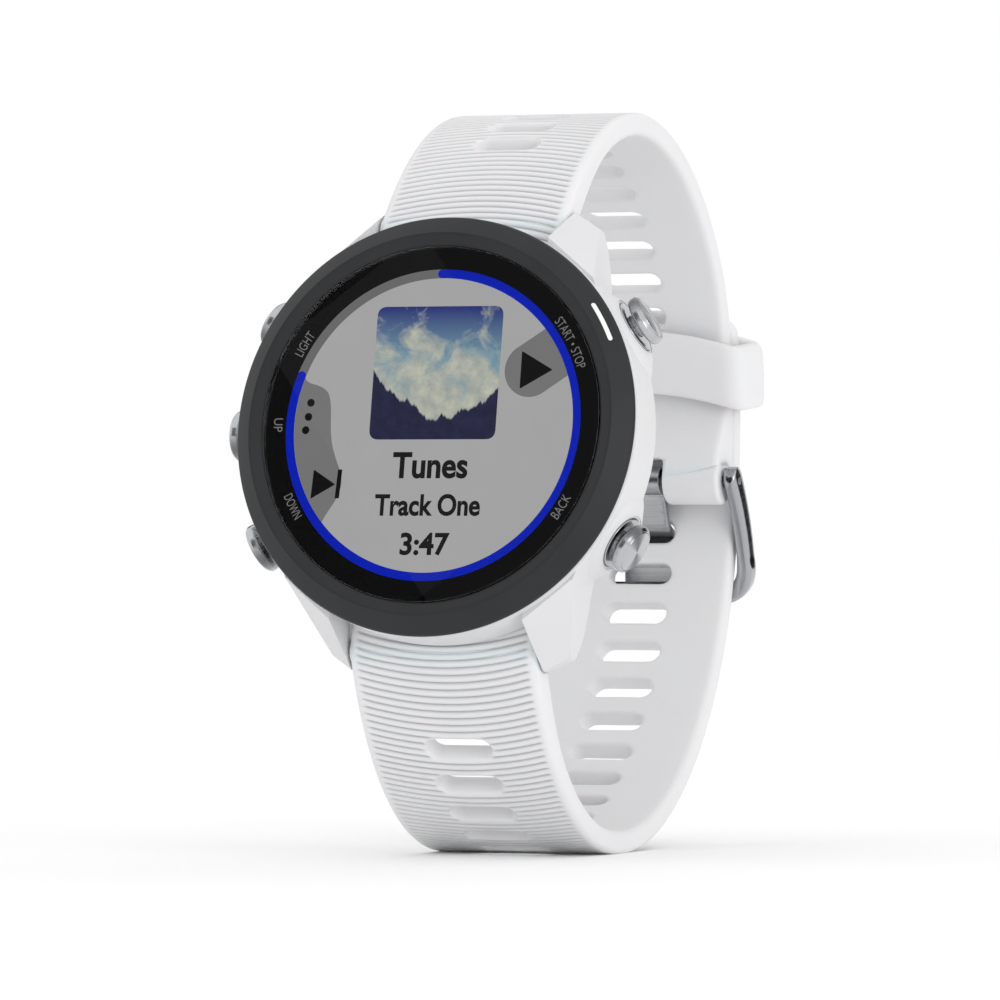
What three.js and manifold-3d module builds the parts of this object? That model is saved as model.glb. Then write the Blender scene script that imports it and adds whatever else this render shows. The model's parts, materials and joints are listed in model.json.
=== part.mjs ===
// A round GPS running watch with five side buttons, standing on the closed loop of its buckled silicone strap.
// Millimetres. In the watch's own frame X points to 3 o'clock, Y is the depth behind the front of the glass and
// Z points to 12 o'clock. The whole watch leans back by LEAN, as it does when it stands on its strap, and its
// origin is the middle of the underside of its box.
import * as THREE from "three";
import { mergeVertices } from "three/addons/utils/BufferGeometryUtils.js";
import Module from "manifold-3d";

const wasm = await Module();
wasm.setup();

// ---- Driving dimensions ----
const LEAN = THREE.MathUtils.degToRad(10.7); // the face looks up by this much

const CASE_R = 21.15; // the case is 42.3 mm across
const CASE_WALL = 2.75; // plastic between the cavity and the outside
const CASE_TOP = 1.95; // depth at which the case starts, under the bezel
const CASE_SHOULDER = 6.6; // depth to which the side wall is upright
const CASE_BACK = 10.3; // depth of the case's rear edge
const CASE_TAPER = 1.25; // how far the wall leans in from the shoulder to the rear edge
const REAR_FLANGE_WIDTH = 4.25; // from the side of the case to the bore that the back cover closes
const REAR_FLANGE_T = 1.1;

const BEZEL_WIDTH = 3.2; // from the side of the case to the opening that the glass sits in
const BEZEL_OUTER_SLOPE = 1.95; // width of the slope outside the ridge
const BEZEL_RIDGE_RISE = 0.25; // the ridge stands in front of the glass
const BEZEL_FALL = 0.75; // depth lost for each millimetre outside the ridge
const BEZEL_LEDGE = 1.05; // the ledge under the rim of the glass
const BEZEL_UNDERSIDE = 1.8;
const MARK_INSET = 0.95; // from the side of the case to the white start mark
const MARK_LENGTH = 4.4;
const MARK_WIDTH = 0.42;
const MARK_T = 0.45;

const LENS_T = 1.0;
const GASKET_T = 0.2;
const DISPLAY_GAP = 0.3; // between the display and the bezel's ledge
const DISPLAY_T = 1.25;
const BACKLIGHT_T = 0.5;
const INNER_FRAME_T = 0.65;
const BOARD_GAP = 1.3; // between the board and the rear flange's bore
const BOARD_FRONT = 8.0; // depth of the board's front face
const BOARD_T = 0.7;
const BATTERY = [24, 3.6, 14]; // along X, Y and Z
const BATTERY_CENTRE_Z = -3.5;
const SHIELD = [10, 0.75, 10];
const SHIELD_CENTRE = [-4.5, 4.5]; // X and Z
const MOTOR_R = 4.0;
const MOTOR_T = 2.7;
const MOTOR_CENTRE_Z = 9.3;
const BUZZER_R = 4.2;
const BUZZER_T = 0.55;
const BUZZER_CENTRE = [7, -8];
const ANTENNA_T = 0.6;
const ANTENNA_HEIGHT = 3.2;
const ANTENNA_HALF_ARC = THREE.MathUtils.degToRad(38);

const COVER_T = 0.9; // back cover plate
const COVER_EDGE = 0.45; // how far the plate stays inside the case's rear edge
const SPIGOT_T = 0.75; // the cover's ring inside the flange
const SPIGOT_DEPTH = 1.0;
const SEAL_R = 0.3; // section radius of the cover's O-ring
const SCREW_INSET = 2.95; // from the side of the case to the back screws
const SCREW_ANGLE = THREE.MathUtils.degToRad(42); // from the 3 o'clock line
const SCREW_SHANK_R = 0.6;
const SCREW_HEAD_R = 1.05;
const SCREW_HEAD_T = 0.55;
const SCREW_LENGTH = 1.5;
const SENSOR_HUMP_R = 9.6; // foot of the hump round the heart-rate window
const SENSOR_HUMP_RISE = 0.85;
const SENSOR_WINDOW_R = 5.6;
const SENSOR_WINDOW_T = 0.95;
const SENSOR_BOARD_R = 6.4;
const SENSOR_BOARD_T = 0.4;
const SENSOR_PARTS = ["green_led_1", "photodiode", "green_led_2"];
const SENSOR_PART = [1.5, 0.45, 1.1];
const SENSOR_PITCH = 2.5;
const PORT = [6.8, 1.1, 2.4]; // charging insert
const PORT_CENTRE_Z = -12.6;
const CONTACTS = 4;
const CONTACT_PITCH = 1.5;
const CONTACT_R = 0.35;

const BUTTONS = { start: 30.5, back: -30, light: 150, up: 180, down: 210 }; // degrees from 3 o'clock
const BUTTON_CAP_R = 2.85;
const BUTTON_REACH = 2.35; // how far the cap's face stands out of the case
const BUTTON_CAP_T = 1.1;
const BUTTON_DOME = 0.15;
const BUTTON_TRAVEL = 0.5;
const STEM_R = 1.15;
const STEM_COLLAR_R = 1.6;
const STEM_COLLAR_T = 0.4;
const BUSHING_WALL = 0.55;
const FLANGE_RIM = 0.25; // how far the bushing's flange shows round the cap
const FLANGE_T = 0.45;
const POD_WALL = 0.8; // plastic round the flange
const POD_FLARE = 0.5; // how much wider the pod is where it meets the case
const POD_RISE = 0.75; // how far the pod round a button stands out of the case
const SEAL_LENGTH = 0.7;
const SWITCH = [3.0, 2.4, 2.6]; // along the rim, along the stem, along the watch's axis

const STRAP_WIDTH = 20;
const LOOP_HALF_HEIGHT = 38; // from the middle of the loop to its highest and lowest points
const LOOP_FRONT = 29; // from the depth of those points to the loop's front and back
const LOOP_BACK = 32.3;
const STRAP_T_LUG = 3.2;
const STRAP_T = 2.4;
const TAIL_T = 2.15;
const LAYER_STEP = 2.4; // how far the outer layer lies outside the inner one where they overlap
const STEP_START = 48; // loop angles between which one layer moves past the other
const STEP_END = 8;
const TAPER_SPAN = 25; // loop angle over which the strap thins behind the lug
const TAIL_END = 37; // loop angle of the tail's tip
const TAIL_TIP_LENGTH = 3.2;
const TAIL_CORNER = 4.2;
const STRAP_STEPS = 40;
const STAND_FLAT = 0.12; // depth of the flat that the loop stands on

const SLOT_LENGTH = 6.9; // across the strap
const SLOT_WIDTH = 2.3;
const LONG_SLOTS = { first: 0.6, pitch: 4.69, below: 16, above: 4 }; // angle of the slot that the tang is in
const SHORT_SLOTS = { first: 122.9, pitch: 4.36, count: 12 };

const BAR_DEPTH = 8.95; // spring bar axis
const BAR_OUTSIDE = 0.25; // how far the bar's axis lies outside the case's radius
const BAR_R = 0.75;
const BAR_TIP_R = 0.42;
const BAR_TIP_LENGTH = 1.25; // how far the bar's tips enter the lugs
const BARREL_R = 1.7; // strap end round the bar
const RELEASE_LEVER = [0.9, 1.9, 0.8]; // thumb lever of the quick-release pin
const RELEASE_TRAVEL = 1.3;

const LUG_GAP = 0.25; // each side of the strap
const LUG_BACK = 12.3;

const PIN_AT = 9; // loop angle of the buckle pin
const PIN_R = 0.7;
const BUCKLE_BARREL_R = 2.55;
const NOTCH_WIDTH = 7.6; // the barrel is cut away here for the tang
const ARM_GAP = 0.3; // between the strap and the buckle's arms
const ARM_T = 1.4;
const ARM_HINGE_R = 1.5;
const CROSSBAR_AT = -8.2; // loop angle of the crossbar
const CROSSBAR_R = 1.15;
const BUCKLE_GAP = 0.3; // between the long strap and the metal on each side of it
const TANG_WIDTH = 6.3;
const TANG_T = 0.9;
const TANG_EYE_R = 1.5;
const TANG_NOTCH = 0.75; // seat cut in the crossbar

const KEEPER_AT = 27; // loop angle of the keeper
const KEEPER_LENGTH = 6.8;
const KEEPER_WALL = 1.5;
const KEEPER_SIDE = 1.9;

const SEAT = 0.1; // gap left where one piece rests on another
const SLIDE_FIT = 0.06; // radial clearance of what turns or slides
const ROUND = 48; // sides of the large round pieces
const INNER_ROUND = 32; // of the round pieces inside
const BUTTON_ROUND = 20;
const SMALL_ROUND = 14; // of pins, stems and holes

// ---- Places that follow from them ----
const CAVITY_R = CASE_R - CASE_WALL;
const REAR_FLANGE_R = CASE_R - REAR_FLANGE_WIDTH;
const BEZEL_OPENING_R = CASE_R - BEZEL_WIDTH;
const BEZEL_RIDGE_R = CASE_R - BEZEL_OUTER_SLOPE;
const MARK_R = CASE_R - MARK_INSET;
const DISPLAY_R = BEZEL_OPENING_R - BEZEL_LEDGE - DISPLAY_GAP;
const BOARD_R = REAR_FLANGE_R - BOARD_GAP;
const SCREW_CIRCLE_R = CASE_R - SCREW_INSET;
const BUTTON_FACE_AT = CASE_R + BUTTON_REACH; // distance from the watch's axis to a cap's face
const FLANGE_R = BUTTON_CAP_R + FLANGE_RIM;
const POD_R = FLANGE_R + POD_WALL;
const BUTTON_DEPTH = CASE_TOP + POD_R + POD_FLARE + SEAT / 2; // depth of the buttons' axes
const BAR_Z = CASE_R + BAR_OUTSIDE;
const LUG_NOTCH_Z = BAR_Z - BARREL_R - 2 * SEAT; // flat of the case behind the strap's end
const LUG_IN = STRAP_WIDTH / 2 + LUG_GAP;
const ARM_IN = STRAP_WIDTH / 2 + ARM_GAP;
// The strap's outside leaves the barrel on the slant away from the case.
const LEAVING = { depth: BAR_DEPTH - 0.65 * BARREL_R, z: BAR_Z + 0.865 * BARREL_R };
const STRAP_START = 180 - THREE.MathUtils.radToDeg(Math.asin(LEAVING.z / LOOP_HALF_HEIGHT));
const TAPER_END = STRAP_START - TAPER_SPAN;
const LOOP_CENTRE = LEAVING.depth - LOOP_FRONT * Math.cos(THREE.MathUtils.degToRad(STRAP_START));

// ---- Materials ----
const matter = (color, roughness, metalness = 0) =>
  new THREE.MeshStandardMaterial({ color, roughness, metalness });
const whitePolymer = () => matter(0xe9e9ea, 0.55);
const bezelPolymer = () => matter(0x45464a, 0.5);
const silicone = () => matter(0xf1f1f2, 0.6);
const steel = () => matter(0xb9bbbd, 0.28, 1);
const polishedSteel = () => matter(0xc6c8ca, 0.12, 1);
const darkPolymer = () => matter(0x1b1c1f, 0.5);
const sealRubber = () => matter(0x222224, 0.8);
const circuitBoard = () => matter(0x0f3d2a, 0.5);
const goldPlate = () => matter(0xd8b25c, 0.3, 1);

// ---- Shape helpers ----
function solidOf(geometry) {
  const bare = geometry.clone();
  bare.deleteAttribute("normal");
  bare.deleteAttribute("uv");
  const merged = mergeVertices(bare, 1e-4);
  const index = merged.index.array;
  const kept = [];
  for (let i = 0; i < index.length; i += 3) {
    const [a, b, c] = index.slice(i, i + 3);
    if (a !== b && b !== c && c !== a) kept.push(a, b, c);
  }
  const vertProperties = merged.attributes.position.array;
  return new wasm.Manifold(
    new wasm.Mesh({ numProp: 3, vertProperties, triVerts: new Uint32Array(kept) }),
  );
}

function geometryOf(solid) {
  const mesh = solid.getMesh();
  return new THREE.BufferGeometry()
    .setAttribute("position", new THREE.BufferAttribute(mesh.vertProperties, 3))
    .setIndex(new THREE.BufferAttribute(mesh.triVerts, 1));
}

const joined = (first, ...others) =>
  geometryOf(others.reduce((sum, next) => sum.add(solidOf(next)), solidOf(first)));
const cut = (first, ...others) =>
  geometryOf(others.reduce((left, next) => left.subtract(solidOf(next)), solidOf(first)));
const common = (first, second) => geometryOf(solidOf(first).intersect(solidOf(second)));

// A piece turned about the watch's axis from [radius, depth] points: a profile that doesn't touch the axis closes
// on itself.
function turned(profile, sides = ROUND) {
  const points = profile.map(([r, depth]) => new THREE.Vector2(r, depth));
  if (THREE.ShapeUtils.area(points) < 0) points.reverse();
  const onAxis = profile[0][0] === 0 && profile.at(-1)[0] === 0;
  if (!onAxis) points.push(points[0].clone());
  return new THREE.LatheGeometry(points, sides);
}

const disc = (r, from, to, sides = INNER_ROUND) =>
  turned([[0, from], [r, from], [r, to], [0, to]], sides);
const ring = (inner, outer, from, to, sides = ROUND) =>
  turned([[inner, from], [outer, from], [outer, to], [inner, to]], sides);

// An outline in the face plane, [x, z] points, given a thickness between two depths.
function plate(outline, from, to) {
  const shape = new THREE.Shape(outline.map(([x, z]) => new THREE.Vector2(x, z)));
  return new THREE.ExtrudeGeometry(shape, { depth: to - from, bevelEnabled: false })
    .rotateX(Math.PI / 2)
    .translate(0, to, 0);
}

// An outline in the side view, [depth, z] points, given a width between two X positions.
function slab(outline, from, to) {
  const shape = new THREE.Shape(outline.map(([depth, z]) => new THREE.Vector2(depth, z)));
  const sideways = new THREE.Matrix4().makeBasis(
    new THREE.Vector3(0, 1, 0),
    new THREE.Vector3(0, 0, 1),
    new THREE.Vector3(1, 0, 0),
  );
  return new THREE.ExtrudeGeometry(shape, { depth: to - from, bevelEnabled: false })
    .applyMatrix4(sideways)
    .translate(from, 0, 0);
}

const block = ([width, depth, height], x, y, z) =>
  new THREE.BoxGeometry(width, depth, height).translate(x, y, z);

// A round rod along X.
const rod = (r, from, to, [depth, z], sides = SMALL_ROUND) =>
  new THREE.CylinderGeometry(r, r, to - from, sides)
    .rotateZ(Math.PI / 2)
    .translate((from + to) / 2, depth, z);

// A sector of a flat ring round the watch's axis.
function sector(inner, outer, middle, halfArc, from, to, steps = 12) {
  const edge = (r, sign) =>
    Array.from({ length: steps + 1 }, (_, i) => {
      const angle = middle + sign * halfArc * (1 - (2 * i) / steps);
      return [r * Math.cos(angle), r * Math.sin(angle)];
    });
  return plate([...edge(outer, -1), ...edge(inner, 1)], from, to);
}

function roundedRectangle(width, height, r, steps = 4) {
  const points = [];
  [[1, 1], [-1, 1], [-1, -1], [1, -1]].forEach(([sx, sy], corner) => {
    for (let i = 0; i <= steps; i++) {
      const angle = ((corner + i / steps) * Math.PI) / 2;
      points.push([
        sx * (width / 2 - r) + r * Math.cos(angle),
        sy * (height / 2 - r) + r * Math.sin(angle),
      ]);
    }
  });
  return points;
}

const watch = new THREE.Group();
watch.rotation.x = -LEAN;

function piece(name, geometry, material, parent = watch) {
  const mesh = new THREE.Mesh(geometry, material);
  mesh.name = name;
  parent.add(mesh);
  return mesh;
}

// ---- Front: lens, bezel and display ----
const LENS_R = BEZEL_OPENING_R - SEAT * 1.5;
const bezelSlope = (r) => -BEZEL_RIDGE_RISE + (r - BEZEL_RIDGE_R) * BEZEL_FALL; // depth of the slope at a radius
const BEZEL_RIM_R = CASE_R - 0.15;

const markSolid = (grow) =>
  sector(
    MARK_R - MARK_WIDTH / 2 - grow,
    MARK_R + MARK_WIDTH / 2 + grow,
    THREE.MathUtils.degToRad(BUTTONS.start),
    (MARK_LENGTH / 2 + grow) / MARK_R,
    bezelSlope(MARK_R) - 0.1 - grow * 5,
    bezelSlope(MARK_R) + MARK_T + grow,
  );

function bezel() {
  const outline = [
    [BEZEL_OPENING_R, 0.15],
    [BEZEL_RIDGE_R - 0.1, -BEZEL_RIDGE_RISE],
    [BEZEL_RIDGE_R + 0.1, -BEZEL_RIDGE_RISE],
    [BEZEL_RIM_R, bezelSlope(BEZEL_RIM_R)],
    [CASE_R, bezelSlope(BEZEL_RIM_R) + 0.35],
    [CASE_R - 0.1, BEZEL_UNDERSIDE],
    [BEZEL_OPENING_R - BEZEL_LEDGE, BEZEL_UNDERSIDE],
    [BEZEL_OPENING_R - BEZEL_LEDGE, LENS_T + GASKET_T + 2 * SEAT],
    [BEZEL_OPENING_R, LENS_T + GASKET_T + 2 * SEAT],
  ];
  return cut(turned(outline), markSolid(SEAT));
}

piece("bezel", bezel(), bezelPolymer());
piece("bezel_mark", markSolid(0), whitePolymer());
piece("lens", disc(LENS_R, 0, LENS_T, ROUND), matter(0x0a0a0c, 0.05));
piece(
  "lens_gasket",
  ring(BEZEL_OPENING_R - BEZEL_LEDGE + SEAT, LENS_R, LENS_T + SEAT, LENS_T + SEAT + GASKET_T, INNER_ROUND),
  sealRubber(),
);

const DISPLAY_FRONT = LENS_T + 3 * SEAT;
const BACKLIGHT_FRONT = DISPLAY_FRONT + DISPLAY_T + SEAT;
const FRAME_FRONT = BACKLIGHT_FRONT + BACKLIGHT_T + SEAT;
const FRAME_BACK = FRAME_FRONT + INNER_FRAME_T;
piece("display_panel", disc(DISPLAY_R, DISPLAY_FRONT, DISPLAY_FRONT + DISPLAY_T), matter(0xb4b4b2, 0.3));
piece("backlight", disc(DISPLAY_R, BACKLIGHT_FRONT, BACKLIGHT_FRONT + BACKLIGHT_T), matter(0xf4f4ee, 0.4));
piece(
  "inner_frame",
  ring(BATTERY[2] / 2, CAVITY_R - 8 * SEAT, FRAME_FRONT, FRAME_BACK, INNER_ROUND),
  darkPolymer(),
);

// ---- Inside: board, battery, motor, buzzer and antenna ----
const BOARD_BACK = BOARD_FRONT + BOARD_T;
piece("main_board", disc(BOARD_R, BOARD_FRONT, BOARD_BACK), circuitBoard());
piece(
  "battery",
  block(BATTERY, 0, FRAME_BACK + SEAT + BATTERY[1] / 2, BATTERY_CENTRE_Z),
  matter(0x9a9da3, 0.4),
);
piece(
  "processor_shield",
  block(SHIELD, SHIELD_CENTRE[0], BOARD_BACK + SEAT + SHIELD[1] / 2, SHIELD_CENTRE[1]),
  steel(),
);
piece(
  "vibration_motor",
  disc(MOTOR_R, BOARD_FRONT - SEAT - MOTOR_T, BOARD_FRONT - SEAT, BUTTON_ROUND).translate(0, 0, MOTOR_CENTRE_Z),
  steel(),
);
piece(
  "piezo_buzzer",
  disc(BUZZER_R, BOARD_BACK + SEAT, BOARD_BACK + SEAT + BUZZER_T, BUTTON_ROUND)
    .translate(BUZZER_CENTRE[0], 0, BUZZER_CENTRE[1]),
  goldPlate(),
);
const ANTENNA_R = CAVITY_R - 3 * SEAT;
piece(
  "gps_antenna",
  sector(
    ANTENNA_R - ANTENNA_T,
    ANTENNA_R,
    Math.PI / 2,
    ANTENNA_HALF_ARC,
    FRAME_BACK + 2 * SEAT,
    FRAME_BACK + 2 * SEAT + ANTENNA_HEIGHT,
    20,
  ),
  goldPlate(),
);

// ---- Case body with its lugs and button pods ----
// A button's own frame: Y points out along its axis, and X to the back of the watch.
function buttonFrame(degrees) {
  const angle = THREE.MathUtils.degToRad(degrees);
  const backwards = new THREE.Vector3(0, 1, 0);
  const outwards = new THREE.Vector3(Math.cos(angle), 0, Math.sin(angle));
  return new THREE.Matrix4()
    .makeBasis(backwards, outwards, backwards.clone().cross(outwards))
    .setPosition(0, BUTTON_DEPTH, 0);
}
const atButton = (degrees, geometry) => geometry.applyMatrix4(buttonFrame(degrees));

const POD_OUT = CASE_R + POD_RISE;
const FLANGE_OUT = BUTTON_FACE_AT - BUTTON_DOME - BUTTON_CAP_T - BUTTON_TRAVEL - SEAT;
const FLANGE_IN = FLANGE_OUT - FLANGE_T;
const BUSHING_R = STEM_R + SLIDE_FIT + BUSHING_WALL;

// The lug in side view: it leaves the wall under the bezel, slopes back to its tip and turns in behind.
const lugSide = (sz) => [
  [CASE_TOP + 0.5, sz * (CASE_R - 6)],
  [CASE_TOP + 0.5, sz * (BAR_Z - 3.0)],
  [6.0, sz * (BAR_Z - 0.2)],
  [BAR_DEPTH + 0.4, sz * (BAR_Z + 1.45)],
  [BAR_DEPTH + 1.1, sz * (BAR_Z + 1.6)],
  [BAR_DEPTH + 2.2, sz * (BAR_Z + 1.25)],
  [LUG_BACK, sz * (BAR_Z - 0.4)],
  [LUG_BACK, sz * (BAR_Z - 2.0)],
  [CASE_BACK, sz * (BAR_Z - 6.4)],
];
// The same lug from the front: square to the strap inside, curving into the round case outside.
const lugFront = (sx, sz) => [
  [sx * LUG_IN, sz * (CASE_R - 7)],
  [sx * LUG_IN, sz * (BAR_Z + 1.6)],
  [sx * (LUG_IN + 0.4), sz * (BAR_Z + 1.5)],
  [sx * (LUG_IN + 1.7), sz * (BAR_Z + 0.6)],
  [sx * (LUG_IN + 2.8), sz * (BAR_Z - 0.8)],
  [sx * (LUG_IN + 3.6), sz * (BAR_Z - 3.0)],
  [sx * (LUG_IN + 4.1), sz * (CASE_R - 7)],
];
const lug = (sx, sz) =>
  common(
    slab(lugSide(sz), sx > 0 ? LUG_IN : -CASE_R, sx > 0 ? CASE_R : -LUG_IN),
    plate(lugFront(sx, sz), CASE_TOP, LUG_BACK + 1),
  );

const screwAngles = [SCREW_ANGLE, Math.PI - SCREW_ANGLE, Math.PI + SCREW_ANGLE, -SCREW_ANGLE];
const atScrew = (angle, geometry) =>
  geometry.translate(SCREW_CIRCLE_R * Math.cos(angle), 0, SCREW_CIRCLE_R * Math.sin(angle));

function caseBody() {
  const rearR = CASE_R - CASE_TAPER;
  const shell = turned([
    [CAVITY_R, CASE_TOP],
    [CASE_R - 0.4, CASE_TOP],
    [CASE_R, CASE_TOP + 0.4],
    [CASE_R, CASE_SHOULDER],
    [CASE_R - CASE_TAPER * 0.4, CASE_SHOULDER + (CASE_BACK - CASE_SHOULDER) * 0.6],
    [rearR, CASE_BACK],
    [REAR_FLANGE_R, CASE_BACK],
    [REAR_FLANGE_R, CASE_BACK - REAR_FLANGE_T],
    [CAVITY_R, CASE_BACK - REAR_FLANGE_T],
  ]);
  const signs = [[1, 1], [-1, 1], [-1, -1], [1, -1]];
  const pods = Object.values(BUTTONS).map((degrees) =>
    atButton(degrees, turned([
      [0, CAVITY_R + 0.6],
      [POD_R + POD_FLARE, CAVITY_R + 0.6],
      [POD_R, POD_OUT - 0.3],
      [POD_R - 0.35, POD_OUT],
      [0, POD_OUT],
    ], BUTTON_ROUND)),
  );
  const cavity = disc(CAVITY_R, CASE_TOP - 1, CASE_BACK - REAR_FLANGE_T, ROUND);
  const bores = Object.values(BUTTONS).flatMap((degrees) => [
    atButton(degrees, disc(BUSHING_R + SLIDE_FIT, CAVITY_R - 2, POD_OUT + 1, SMALL_ROUND)),
    atButton(degrees, disc(FLANGE_R + SEAT, FLANGE_IN - SEAT, POD_OUT + 1, BUTTON_ROUND)),
  ]);
  const strapNotches = [1, -1].map((sz) =>
    block(
      [2 * LUG_IN, 12, 6],
      0,
      BAR_DEPTH - BARREL_R - 2 * SEAT + 6,
      sz * (LUG_NOTCH_Z + 3),
    ),
  );
  const barHoles = [1, -1].map((sz) =>
    rod(
      BAR_TIP_R + SLIDE_FIT,
      -LUG_IN - BAR_TIP_LENGTH - SEAT,
      LUG_IN + BAR_TIP_LENGTH + SEAT,
      [BAR_DEPTH, sz * BAR_Z],
      12,
    ),
  );
  const screwHoles = screwAngles.map((angle) =>
    atScrew(angle, disc(SCREW_SHANK_R + SLIDE_FIT, CASE_BACK - SCREW_LENGTH - 1, CASE_BACK + 1, 8)),
  );
  const rearClearance = disc(rearR - COVER_EDGE + SEAT, CASE_BACK, LUG_BACK + 1, ROUND);
  const whole = joined(shell, ...signs.map(([sx, sz]) => lug(sx, sz)), ...pods);
  return cut(whole, cavity, rearClearance, ...bores, ...strapNotches, ...barHoles, ...screwHoles);
}
piece("case_body", caseBody(), whitePolymer());

// ---- Back cover, its seal and screws, the heart-rate sensor and the charging port ----
const COVER_FRONT = CASE_BACK + SEAT;
const COVER_BACK = COVER_FRONT + COVER_T;
const COVER_R = CASE_R - CASE_TAPER - COVER_EDGE;
const SPIGOT_R = REAR_FLANGE_R - 2 * SEAL_R - 1.5 * SEAT;
const HUMP_BACK = COVER_BACK + SENSOR_HUMP_RISE;
const WINDOW_FRONT = HUMP_BACK - SENSOR_WINDOW_T + SEAT / 2;
const portPocket = block(
  [PORT[0] + 2 * SEAT, 4, PORT[2] + 2 * SEAT],
  0,
  COVER_BACK - 1,
  PORT_CENTRE_Z,
);

function backCover() {
  const body = turned([
    [SENSOR_WINDOW_R - 0.6, COVER_FRONT],
    [SPIGOT_R - SPIGOT_T, COVER_FRONT],
    [SPIGOT_R - SPIGOT_T, COVER_FRONT - SPIGOT_DEPTH],
    [SPIGOT_R, COVER_FRONT - SPIGOT_DEPTH],
    [SPIGOT_R, COVER_FRONT],
    [COVER_R, COVER_FRONT],
    [COVER_R, COVER_BACK - 0.4],
    [COVER_R - 0.5, COVER_BACK],
    [SENSOR_HUMP_R, COVER_BACK],
    [SENSOR_HUMP_R - 2.2, HUMP_BACK],
    [SENSOR_WINDOW_R + SEAT, HUMP_BACK],
    [SENSOR_WINDOW_R + SEAT, WINDOW_FRONT - SEAT],
    [SENSOR_WINDOW_R - 0.6, WINDOW_FRONT - SEAT],
  ]);
  const holes = screwAngles.flatMap((angle) => [
    atScrew(angle, disc(SCREW_SHANK_R + SLIDE_FIT, COVER_FRONT - 1, COVER_BACK + 1, 8)),
    atScrew(angle, disc(SCREW_HEAD_R + SEAT, COVER_BACK - SCREW_HEAD_T, COVER_BACK + 1, SMALL_ROUND)),
  ]);
  return cut(body, ...holes, portPocket);
}
piece("back_cover", backCover(), darkPolymer());
piece(
  "case_seal",
  new THREE.TorusGeometry((SPIGOT_R + REAR_FLANGE_R) / 2, SEAL_R, 6, INNER_ROUND)
    .rotateX(Math.PI / 2)
    .translate(0, CASE_BACK - REAR_FLANGE_T / 2, 0),
  sealRubber(),
);
screwAngles.forEach((angle, i) => {
  const headFront = COVER_BACK - SCREW_HEAD_T + SEAT;
  const profile = [
    [0, CASE_BACK - SCREW_LENGTH + 0.4],
    [SCREW_SHANK_R, CASE_BACK - SCREW_LENGTH + 0.4],
    [SCREW_SHANK_R, headFront],
    [SCREW_HEAD_R, headFront],
    [SCREW_HEAD_R, COVER_BACK - SEAT],
    [0, COVER_BACK - SEAT],
  ];
  const hexSocket = disc(0.45, COVER_BACK - 0.35, COVER_BACK + 1, 6);
  const screw = cut(turned(profile, 8), hexSocket);
  piece(`back_screw_${i + 1}`, atScrew(angle, screw), steel());
});

piece(
  "sensor_window",
  turned([
    [0, WINDOW_FRONT],
    [SENSOR_WINDOW_R, WINDOW_FRONT],
    [SENSOR_WINDOW_R, HUMP_BACK],
    [SENSOR_WINDOW_R - 0.4, HUMP_BACK + 0.1],
    [0, HUMP_BACK + 0.1],
  ], INNER_ROUND),
  matter(0x0c0c10, 0.1),
);
const SENSOR_BOARD_FRONT = COVER_FRONT - SEAT - SENSOR_BOARD_T;
piece(
  "sensor_board",
  disc(SENSOR_BOARD_R, SENSOR_BOARD_FRONT, SENSOR_BOARD_FRONT + SENSOR_BOARD_T, BUTTON_ROUND),
  circuitBoard(),
);
SENSOR_PARTS.forEach((name, i) => {
  const x = (i - (SENSOR_PARTS.length - 1) / 2) * SENSOR_PITCH;
  piece(name, block(SENSOR_PART, x, COVER_FRONT + SENSOR_PART[1] / 2, 0), matter(0x3c6b4a, 0.3));
});

const contactX = (i) => (i - (CONTACTS - 1) / 2) * CONTACT_PITCH;
const PORT_BACK = COVER_BACK - 0.3;
const contactPin = (i, grow) =>
  disc(CONTACT_R + grow, PORT_BACK - PORT[1] - 0.2 - grow * 5, PORT_BACK + 0.1 + grow * 5, 8)
    .translate(contactX(i), 0, PORT_CENTRE_Z);
const contactIndices = Array.from({ length: CONTACTS }, (_, i) => i);
piece(
  "charge_port",
  cut(
    block(PORT, 0, PORT_BACK - PORT[1] / 2, PORT_CENTRE_Z),
    ...contactIndices.map((i) => contactPin(i, SLIDE_FIT)),
  ),
  darkPolymer(),
);
contactIndices.forEach((i) => piece(`contact_pin_${i + 1}`, contactPin(i, 0), goldPlate()));

// ---- Buttons: cap and stem, bushing, seal and switch ----
const CAP_UNDERSIDE = BUTTON_FACE_AT - BUTTON_DOME - BUTTON_CAP_T;
const BUSHING_IN = CAVITY_R + 0.15;
const SWITCH_OUT = BUSHING_IN - 0.25 - STEM_COLLAR_T - BUTTON_TRAVEL - 2 * SEAT;

const buttonProfile = [
  [0, SWITCH_OUT + BUTTON_TRAVEL + SEAT],
  [STEM_R - 0.2, SWITCH_OUT + BUTTON_TRAVEL + SEAT],
  [STEM_COLLAR_R, SWITCH_OUT + BUTTON_TRAVEL + 2 * SEAT],
  [STEM_COLLAR_R, BUSHING_IN - 0.25],
  [STEM_R, BUSHING_IN - 0.25],
  [STEM_R, CAP_UNDERSIDE],
  [BUTTON_CAP_R - 0.15, CAP_UNDERSIDE],
  [BUTTON_CAP_R, CAP_UNDERSIDE + 0.15],
  [BUTTON_CAP_R, BUTTON_FACE_AT - BUTTON_DOME - 0.35],
  [BUTTON_CAP_R - 0.35, BUTTON_FACE_AT - BUTTON_DOME],
  [BUTTON_CAP_R * 0.5, BUTTON_FACE_AT - BUTTON_DOME * 0.25],
  [0, BUTTON_FACE_AT],
];
const SEAL_POCKET_R = STEM_R + SLIDE_FIT + BUSHING_WALL * 0.55;
const SEAL_POCKET_OUT = BUSHING_IN + SEAL_LENGTH + SEAT;
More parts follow.
